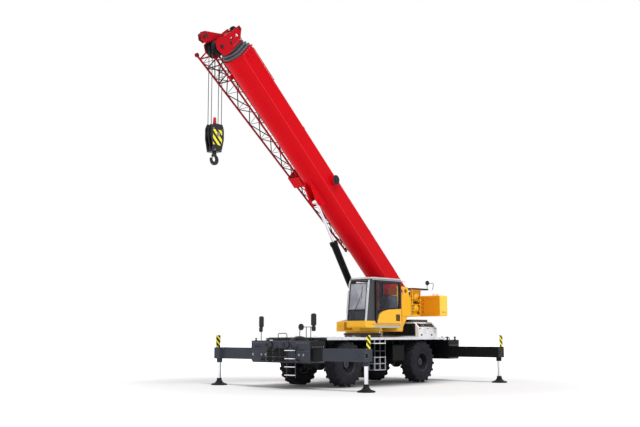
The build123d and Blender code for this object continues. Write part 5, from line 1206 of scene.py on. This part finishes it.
def winch_fittings():
    body = "superstructure"
    cover = [(0.15, 0), (0.15, 0.02), (0.125, 0.03), (0.118, 0.06), (0.07, 0.075), (0.066, 0.1), (0, 0.104)]
    for drum, z in (("main", 2.72), ("aux", 3.18)):
        rope_wraps.lay(drum + "_rope_wraps", drum + "_winch_drum", "wire_rope",
                       stand((-2.62, 0.388, z), -1), Turns=35.0, Drum_radius=0.161, Rope_radius=0.0108)
        for side, hand in SIDES:
            piece = Shape(body, stand((-2.62, side * 0.4815, z), side)).turned(cover, 32)
            piece.finish(drum + "_winch_cover_" + hand, "yellow_enamel", 0.002)
            bolts_round(body, stand((-2.62, side * 0.5015, z), side), 10, 0.137, 0.01, 0.009)
    pipes = Shape(body)
    pipes.run([(-2.28, 0.505, 3.09), (-2.32, 0.52, 3.09), (-2.9, 0.52, 3.03), (-3.15, 0.52, 3.0),
               (-3.2, 0.5, 2.99)], 0.018)
    pipes.run([(-2.28, 0.505, 2.87), (-2.32, 0.52, 2.87), (-2.9, 0.52, 2.86), (-2.93, 0.51, 2.86)], 0.018)
    for z in (2.62, 2.98, 3.3):
        pipes.run([(-2.3, 0.49, z), (-2.34, 0.54, z), (-2.55, 0.56, z + 0.03), (-2.85, 0.54, z - 0.02),
                   (-2.9, 0.5, z - 0.02)], 0.012)
    pipes.rods(0.014, 8, *[((x, 0.525, 2.5), (x, 0.525, 3.4)) for x in (-2.38, -2.88)])
    pipes.run([(-2.25, 0.56, 2.9), (-2.25, 0.6, 2.95), (-2.25, 0.6, 3.4), (-2.25, 0.56, 3.45)], 0.012)
    pipes.finish("winch_rails", "yellow_enamel")
    piece = Shape(body).blocks(*[(*box, 3.422, 3.478) for box in (
        (-3.285, -2.245, 0.62, 0.626), (-3.285, -2.245, -0.566, -0.56), (-2.25, -2.244, -0.56, 0.62),
        (-3.286, -3.28, -0.56, 0.62))])
    piece.finish("winch_roof_edge", "black_enamel", 0.001)
    bolts(body, "x", "z", 6, 0.17, 0.012, 0.01, (-3.2, 0.5, 3.4705), (-3.2, -0.45, 3.4705))
    mirror = Shape(body)
    mirror.run([(-3.24, 0.6, 3.47), (-3.24, 0.6, 3.62), (-3.24, 0.6, 3.66)], 0.011)
    mirror.run([(x, 0.6, z) for x, z in ((-3.24, 3.66), (-3.4, 3.69), (-3.62, 3.71), (-3.66, 3.66),
                                         (-3.62, 3.5), (-3.6, 3.46))], 0.011)
    mirror.turned([(0, -0.028), (0.05, -0.026), (0.085, -0.012), (0.09, 0.004), (0.084, 0.01), (0, 0.012)],
                  28, stand((-3.24, 0.61, 3.7), (0.4, 1, 0)))
    mirror.finish("tail_mirror", "dark_trim")


def counterweight_fittings():
    body, front = "superstructure", (-2.9395, -2.93)
    lugs = Shape(body)
    for side, _ in SIDES:
        for x in (-3.32, -3.08):
            lugs.run([(x + dx, side, z) for dx, z in ((-0.05, 3.19), (-0.05, 3.245), (0, 3.265),
                                                      (0.05, 3.245), (0.05, 3.19))], 0.014)
        lugs.plate([(-3.36, 2.56), (-3.06, 2.56), (-3.06, 2.6), (-3.36, 2.6)], side * 1.3655, side * 1.376)
        lugs.blocks(*[(*front, side * 0.98 - 0.2, side * 0.98 + 0.2, z, z + 0.015) for z in (2.52, 3.1)])
        bolts(body, "z", "x", 4, 0.15, 0.02, 0.016, (front[0], side * 0.62, 2.6))
        bolts(body, side, "-x", 4, 0.2, 0.018, 0.014, (-3.49, side * 0.5, 2.6))
    lugs.finish("counterweight_lugs", "amber_enamel", 0.003)


# ---------------------------------------------------------------- boom, in its own axes
def boom_bolts(body, along, up, count, spacing, head, tall, *starts, paint="machined_steel"):
    turn = BOOM_FRAME.to_3x3()
    bolts(body, turn @ way(along), turn @ way(up), count, spacing, head, tall,
          *[on_boom(*at) for at in starts], paint=paint)


def boom_fittings():
    pads, screws, red = (4, 0.16, 0.03, 0.014), (5, 0.12, 0.014, 0.012), "red_enamel"
    seams, joints, caps, lugs = (Shape("boom", BOOM_FRAME) for _ in range(4))
    for side, _ in SIDES:
        boom_bolts("boom", "z", side, *screws, (10.82, side * 0.4405, -0.1))
        boom_bolts("boom", "z", side, 2, 0.22, 0.03, 0.014, (10.66, side * 0.4185, 0.06),
                   (10.5, side * 0.4185, 0.06), paint=red)
        near, far = side * 0.4175, side * 0.4225
        # partly painted highlight: pale red strips along the top and the lower web stand for welded seams and
        # for the light along the boom's edges
        seams.blocks((0.3, 10.78, near, side * 0.4235, 0.405, 0.419),
                     (0.3, 10.78, near, far, -0.135, -0.123))
        joints.blocks(*[(u, u + 0.03, near, far, -0.12, 0.404) for u in (1.2, 8.2)])
        caps.turned([(0, 0), (0.1, 0), (0.1, 0.016), (0.06, 0.024), (0, 0.024)], 28,
                    stand((5.05, side * 0.176, -0.56), side))
        for u in (2.6, 7.4):
            lugs.plate([(u - 0.09, 0.4345), (u + 0.09, 0.4345), (u + 0.05, 0.5), (u - 0.05, 0.5)],
                       side * 0.36, side * 0.375)
    boom_bolts("boom", "y", "z", *pads, (10.66, -0.3, 0.4345), paint=red)
    seams.finish("boom_seams_and_highlight", "seam_red", 0.0015)
    joints.finish("boom_plate_joints", red, 0.0015)
    reel = Shape("boom", BOOM_FRAME @ stand((5.23, 0.539, 0.27), "y"))
    reel.turned([(0.165, 0), (0.172, 0.008), (0.16, 0.014), (0.15, 0.006), (0.06, 0.008), (0.05, 0.026),
                 (0.02, 0.03), (0, 0.031)], 36)
    reel.rods(0.008, 6, *[((*a, 0.012), (*b, 0.01))
                          for a, b in zip(round_points(0.05, 6), round_points(0.155, 6))])
    reel.finish("boom_reel_face", "dark_trim", 0.001)
    piece = Shape("boom", BOOM_FRAME).rod((0.95, -0.15, 0.535), (0.95, 0.15, 0.535), 0.02, 16, 0.004)
    piece.finish("rope_roller", "machined_steel")
    piece = Shape("boom", BOOM_FRAME).blocks(*[(u - 0.012, u + 0.012, y - 0.05, y + 0.05, 0.4555, 0.468)
                                               for u in (10.79, 10.835)
                                               for y in (-0.32, 0.32)])
    piece.finish("collar_blocks", "dark_trim", 0.002)
    caps.finish("eye_pin_caps", red, 0.002)
    clamps = Shape("boom", BOOM_FRAME).blocks(*[(u - 0.028, u + 0.028, 0.345, 0.395, 0.4345, 0.444)
                                                for u in (9.43, 10.05, 10.67)])
    clamps.run([(0.6, 0.4, 0.445), (0.8, 0.4, 0.45), (4.8, 0.4, 0.45), (5.05, 0.42, 0.44),
                (5.2, 0.46, 0.4)], 0.01, 8, 4)
    clamps.finish("rail_clamps", red, 0.002)
    lugs.finish("lifting_lugs", red, 0.003)
    for body, u, half in (("boom_second", 10.915, 0.403), ("boom_third", 11.01, 0.358)):
        for side, _ in SIDES:
            boom_bolts(body, "z", side, 4, 0.13, 0.011, 0.008, (u, side * half, -0.05))


def head_fittings():
    caps, guard, lamp, cable, rooster = (Shape("boom_head", BOOM_FRAME) for _ in range(5))
    for side, _ in SIDES:
        for u, y, w, r in ((11.485, 0.2985, -0.545, 0.062), (11.455, 0.2835, 0.53, 0.046),
                           (11.335, 0.2835, -0.13, 0.05)):
            caps.turned([(0, 0), (r, 0), (r, 0.012), (r * 0.6, 0.018), (0, 0.018)], 24,
                        stand((u, side * y, w), side))
        boom_bolts("boom_head", "z", side, 4, 0.11, 0.012, 0.01, (11.2, side * 0.2835, -0.1))
        rooster.turned([(0, 0), (0.06, 0), (0.06, 0.01), (0.03, 0.02), (0, 0.02)], 20,
                       stand((12.045, side * 0.0805, -0.755), side))
        rooster.plate([(11.95, -0.6), (12.1, -0.58), (12.12, -0.64), (11.96, -0.66)], side * 0.0725,
                      side * 0.08)
        guard.rods(0.011, 8, *[((u, side * 0.202, w), (u, side * 0.23, w))
                               for u, w in ((11.72, -0.52), (11.7, -0.7), (11.3, -0.73))])
        upper = [(11.40, 0.45), (11.52, 0.45), (11.56, 0.53), (11.53, 0.6), (11.47, 0.65), (11.40, 0.65),
                 (11.36, 0.6)]
        guard.plate(upper, side * 0.05 - 0.005, side * 0.05 + 0.005)
        lower = [(11.28, -0.76), (11.7, -0.72), (11.74, -0.52), (11.7, -0.5), (11.66, -0.66), (11.3, -0.7)]
        guard.plate(lower, side * 0.215 - 0.004, side * 0.215 + 0.004)
    caps.finish("head_pin_caps", "dark_trim", 0.001)
    guard.rods(0.009, 8, *[((u, -0.06, w), (u, 0.06, w))
                           for u, w in ((11.41, 0.65), (11.53, 0.6), (11.55, 0.52))])
    guard.finish("sheave_guards", "dark_trim", 0.001)
    lamp.turned([(0, 0), (0.03, 0.0), (0.05, 0.04), (0.052, 0.07), (0.044, 0.074), (0, 0.078)], 20,
                stand((11.43, 0.2, 0.545), (0.5, 0, 1)))
    lamp.finish("head_lamp", "lamp_white")
    cable.run([(11.42, 0.27, 0.56), (11.42, 0.24, 0.57), (11.425, 0.2, 0.56)], 0.01)
    cable.turned([(0, 0), (0.034, 0), (0.03, 0.06), (0.012, 0.07), (0, 0.071)], 16,
                 stand((11.35, -0.24, 0.5)))
    cable.run([(11.2, 0.15, 0.3), (11.3, 0.16, 0.34), (11.4, 0.16, 0.3), (11.42, 0.15, 0.1),
               (11.38, 0.15, -0.1)], 0.012)
    cable.finish("head_cable", "hose_rubber")
    rooster.rod((12.17, -0.075, -0.66), (12.17, 0.075, -0.66), 0.012, 8)
    rooster.finish("rooster_pins", "dark_trim", 0.001)


def ropes():
    """Hoist rope from the drum over the boom's top to the nose, blended where the sections slide."""
    y, thick, drum, arrival = 0.055, 0.011, (-2.70, 0.03, 3.33), tuple(on_boom(0.3, 0.05, 0.6))
    lead = Shape(None).run([drum, (-1.95, 0.045, 3.62), arrival, on_boom(0.95, y, 0.567)], thick, 8, 12)
    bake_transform(lead.finish("rope_lead", "wire_rope"))
    piece = Shape("boom", BOOM_FRAME).rod((0.95, y, 0.567), (10.81, y, 0.5), thick, 8)
    piece.finish("rope_along_boom", "wire_rope")
    stops = [(10.81, "boom"), (10.92, "boom_second"), (11.015, "boom_third"), (11.13, "boom_head")]
    for (a, first), (b, second) in zip(stops, stops[1:]):
        part = Shape(None, BOOM_FRAME)
        part.run([(u, y, 0.5 + (u - stops[0][0]) * 0.23) for u in (a + (b - a) * k / 4 for k in range(5))],
                 thick, 8, 2)
        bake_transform(part.finish("rope_over_" + second, "wire_rope"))
    nose = Shape("boom_head", BOOM_FRAME)
    nose.run([(11.13, y, 0.574), (11.3, y * 0.6, 0.613), (11.42, 0, 0.638), (11.5, 0, 0.63),
              (11.56, 0, 0.56), (11.575, 0, 0.4), (11.62, 0.06, 0.0), (11.69, 0.15, -0.4),
              (11.695, 0.16, -0.545)], thick, 8, 8)
    nose.finish("rope_over_nose", "wire_rope")


def jib_fittings():
    battens, portal, pins, screws = (Shape("boom", BOOM_FRAME) for _ in range(4))
    corners = ((-0.52, -0.32, -0.52, -0.07), (-1.18, -0.32, -0.68, -0.07), (-1.18, 0.46, -0.68, 0.2),
               (-0.52, 0.46, -0.52, 0.2))

    def chord(corner, share):
        y, w, tip_y, tip_w = corners[corner % 4]
        return JIB_FOOT_U - JIB_LENGTH * share, y + (tip_y - y) * share, w + (tip_w - w) * share

    def frames(*shares):
        return [(chord(corner, share), chord(corner + 1, share)) for share in shares for corner in range(4)]
    battens.rods(0.0095, 8, *frames(*[0.03 + i * 0.94 / 13 for i in range(14)]))
    battens.finish("jib_battens", "jib_lacing")
    portal.rods(0.021, 10, *frames(0.055, 0.125))
    portal.rods(0.018, 10, *[(chord(a, 0.055), chord(b, 0.125)) for a, b in ((1, 2), (0, 1), (3, 2))])
    portal.finish("jib_portals", "jib_lacing")
    for y in (-0.52, -1.18):
        pins.rod((11.345, y - 0.05, -0.32), (11.345, y + 0.05, -0.32), 0.03, 14, 0.004)
    pins.blocks(*[(2.202, 2.29, y - 0.03, y + 0.03, w - 0.03, w + 0.03) for w in (-0.07, 0.2)
                  for y in (-0.68, -0.52)])
    pins.finish("jib_pins", "dark_trim", 0.002)
    for u, y, far, w, r in ((5.62, -0.46, -0.52, 0.1, 0.02), (5.82, -0.46, -0.52, 0.1, 0.02),
                            (10.21, -0.42, -0.5, 0.2, 0.018), (10.29, -0.42, -0.5, 0.2, 0.018)):
        screws.rod((u, y, w), (u, far, w), r, 10, 0.003)
    screws.finish("carrier_bolts", "machined_steel", 0.001)


def cylinder_fittings():
    body, foot, eye = "luff_cylinder", Vector((-0.2, 0, 2.2)), on_boom(5.05, 0, -0.56)
    u = (eye - foot).normalized()
    place = Matrix((u, way("y"), u.cross(way("y")).normalized() * -1)).transposed().to_4x4()
    place.translation = foot
    gland = Shape(body, place)
    gland.turned([(0.056, 0), (0.118, 0), (0.12, 0.008), (0.1, 0.02), (0.062, 0.024), (0.056, 0.02)], 32,
                 stand((3.29, 0, 0), "x"))
    gland.turned([(0.125, 0), (0.139, 0.004), (0.139, 0.05), (0.125, 0.054)], 32, stand((0.32, 0, 0), "x"))
    gland.finish("cylinder_gland", "black_enamel", 0.001)
    bolts_round(body, place @ stand((3.298, 0, 0), "x"), 12, 0.1, 0.01, 0.008)
    pipes = Shape(body, place).blocks(*[(u - 0.02, u + 0.02, 0.11, 0.162, 0.03, 0.08)
                                        for u in (0.8, 1.6, 2.4)])
    pipes.run([(0.42, 0.13, 0.05), (0.5, 0.145, 0.055), (1.6, 0.145, 0.055), (2.95, 0.145, 0.055),
               (3.1, 0.13, 0.05)], 0.013)
    pipes.run([(0.36, -0.13, 0.05), (0.42, -0.145, 0.055), (0.9, -0.145, 0.055), (1.0, -0.13, 0.05)], 0.013)
    pipes.finish("cylinder_pipes", "black_enamel", 0.001)


def block_fittings():
    x = 7.2716
    for side, hand in SIDES:
        cap = Shape("hoist", stand((x, side * 0.1805, 7.85), side))
        cap.turned([(0, 0), (0.06, 0), (0.06, 0.01), (0.03, 0.018), (0, 0.018)])
        cap.finish("block_pin_cap_" + hand, "machined_steel", 0.001)
        bolts("hoist", "x", side, 1, 0.1, 0.02, 0.016, *[
            (x + dx, side * 0.1705, z) for dx, z in ((-0.19, 8.02), (0.19, 8.02), (-0.13, 7.36),
                                                     (0.13, 7.36))])
    latch, collar = (Shape("load_hook", Matrix.Translation((x, 0, 0))) for _ in range(2))
    latch.plate([(0.02, 7.2), (0.045, 7.21), (0.11, 7.1), (0.1, 7.09)], -0.02, 0.02)
    latch.rod((0.03, -0.03, 7.2), (0.03, 0.03, 7.2), 0.009, 10)
    latch.finish("hook_latch", "machined_steel", 0.001)
    collar.turned([(0.048, 7.225), (0.07, 7.225), (0.074, 7.23), (0.074, 7.25), (0.07, 7.256),
                   (0.048, 7.256)])
    collar.finish("hook_collar", "dark_steel")


for corner in WHEELS:
    tyre_and_wheel(corner)
front_lamps()
nose_fittings()
box_screws(3.56)
box_screws(-4.28)
deck_fittings()
mirror_heads()
axle_fittings()
for corner, x in zip(WHEELS, (4.072, 3.762, -3.762, -4.072)):
    beam_fittings(corner, x)
for fittings in (hood_fittings, driver_place, screen_fittings, cab_fittings, door_fittings,
                 turntable_fittings, winch_fittings, counterweight_fittings, boom_fittings, head_fittings,
                 ropes, jib_fittings, cylinder_fittings, block_fittings, rear_fittings):
    fittings()
Pattern.gather()


# ---------------------------------------------------------------- studio
def placed(name, data):
    shown = bpy.data.objects.new(name, data)
    bpy.context.scene.collection.objects.link(shown)
    return shown


camera = placed("camera", bpy.data.cameras.new("camera"))
camera.location = (26.329, 21.003, 1.712)
camera.rotation_euler = Vector((-0.74634517, -0.65273182, 0.13003868)).to_track_quat("-Z", "Y").to_euler()
camera.data.lens, camera.data.sensor_width, camera.data.clip_end = 52.25, 36, 400
bpy.context.scene.camera = camera
bpy.context.scene.view_settings.view_transform = "Standard"


def light():
    """White surroundings that light the machine less than they show, a soft key from above and a fill."""
    world = bpy.data.worlds.new("studio")
    bpy.context.scene.world = world
    world.use_nodes = True
    tree = world.node_tree
    rays = tree.nodes.new("ShaderNodeLightPath").outputs
    seen = rays["Is Camera Ray"]
    for kind in ("Is Transmission Ray", "Is Glossy Ray"):
        either = tree.nodes.new("ShaderNodeMath")
        either.operation = "MAXIMUM"
        tree.links.new(seen, either.inputs[0])
        tree.links.new(rays[kind], either.inputs[1])
        seen = either.outputs[0]
    level = tree.nodes.new("ShaderNodeMapRange")
    level.inputs["To Min"].default_value = 0.36
    tree.links.new(seen, level.inputs["Value"])
    back = tree.nodes["Background"]
    back.inputs["Color"].default_value = (1, 1, 1, 1)
    tree.links.new(level.outputs[0], back.inputs["Strength"])
    for name, power, toward, spread in (("key", 2.3, (-0.3, -0.62, -0.95), 0.4),
                                        ("fill", 0.5, (-0.9, -0.1, -0.3), 1.0)):
        lamp = bpy.data.lights.new(name, "SUN")
        lamp.energy, lamp.angle = power, spread
        placed(name, lamp).rotation_euler = Vector(toward).to_track_quat("-Z", "Y").to_euler()


def floor():
    """Pale floor that brightens into the background, with a painted shadow that darkens it under the machine.
    """
    size = 150
    mesh = bpy.data.meshes.new("studio_floor")
    mesh.from_pydata([(-size, -size, 0), (size, -size, 0), (size, size, 0), (-size, size, 0)], [],
                     [(0, 1, 2, 3)])
    f = Finish("studio_floor")
    far, painted_shadow_reach = f.length(f.coords), f.length(f.mapped((0.2, 0.45, 1)))
    # painted shadow: the floor's colour goes dark near the middle, under the machine
    f.set(Base_Color=f.mix(f.spread(painted_shadow_reach, 0.35, 1.15, 0, 1, True), (0.12, 0.12, 0.125), (0.9, 0.9, 0.905)),
          Roughness=0.9, Specular_IOR_Level=0.05, Emission_Color=(1.0, 1.0, 1.0),
          Emission_Strength=f.spread(far, 5.5, 15, 0.04, 0.5, True))
    mesh.materials.append(f.material)
    placed("studio_floor", mesh)


light()
floor()
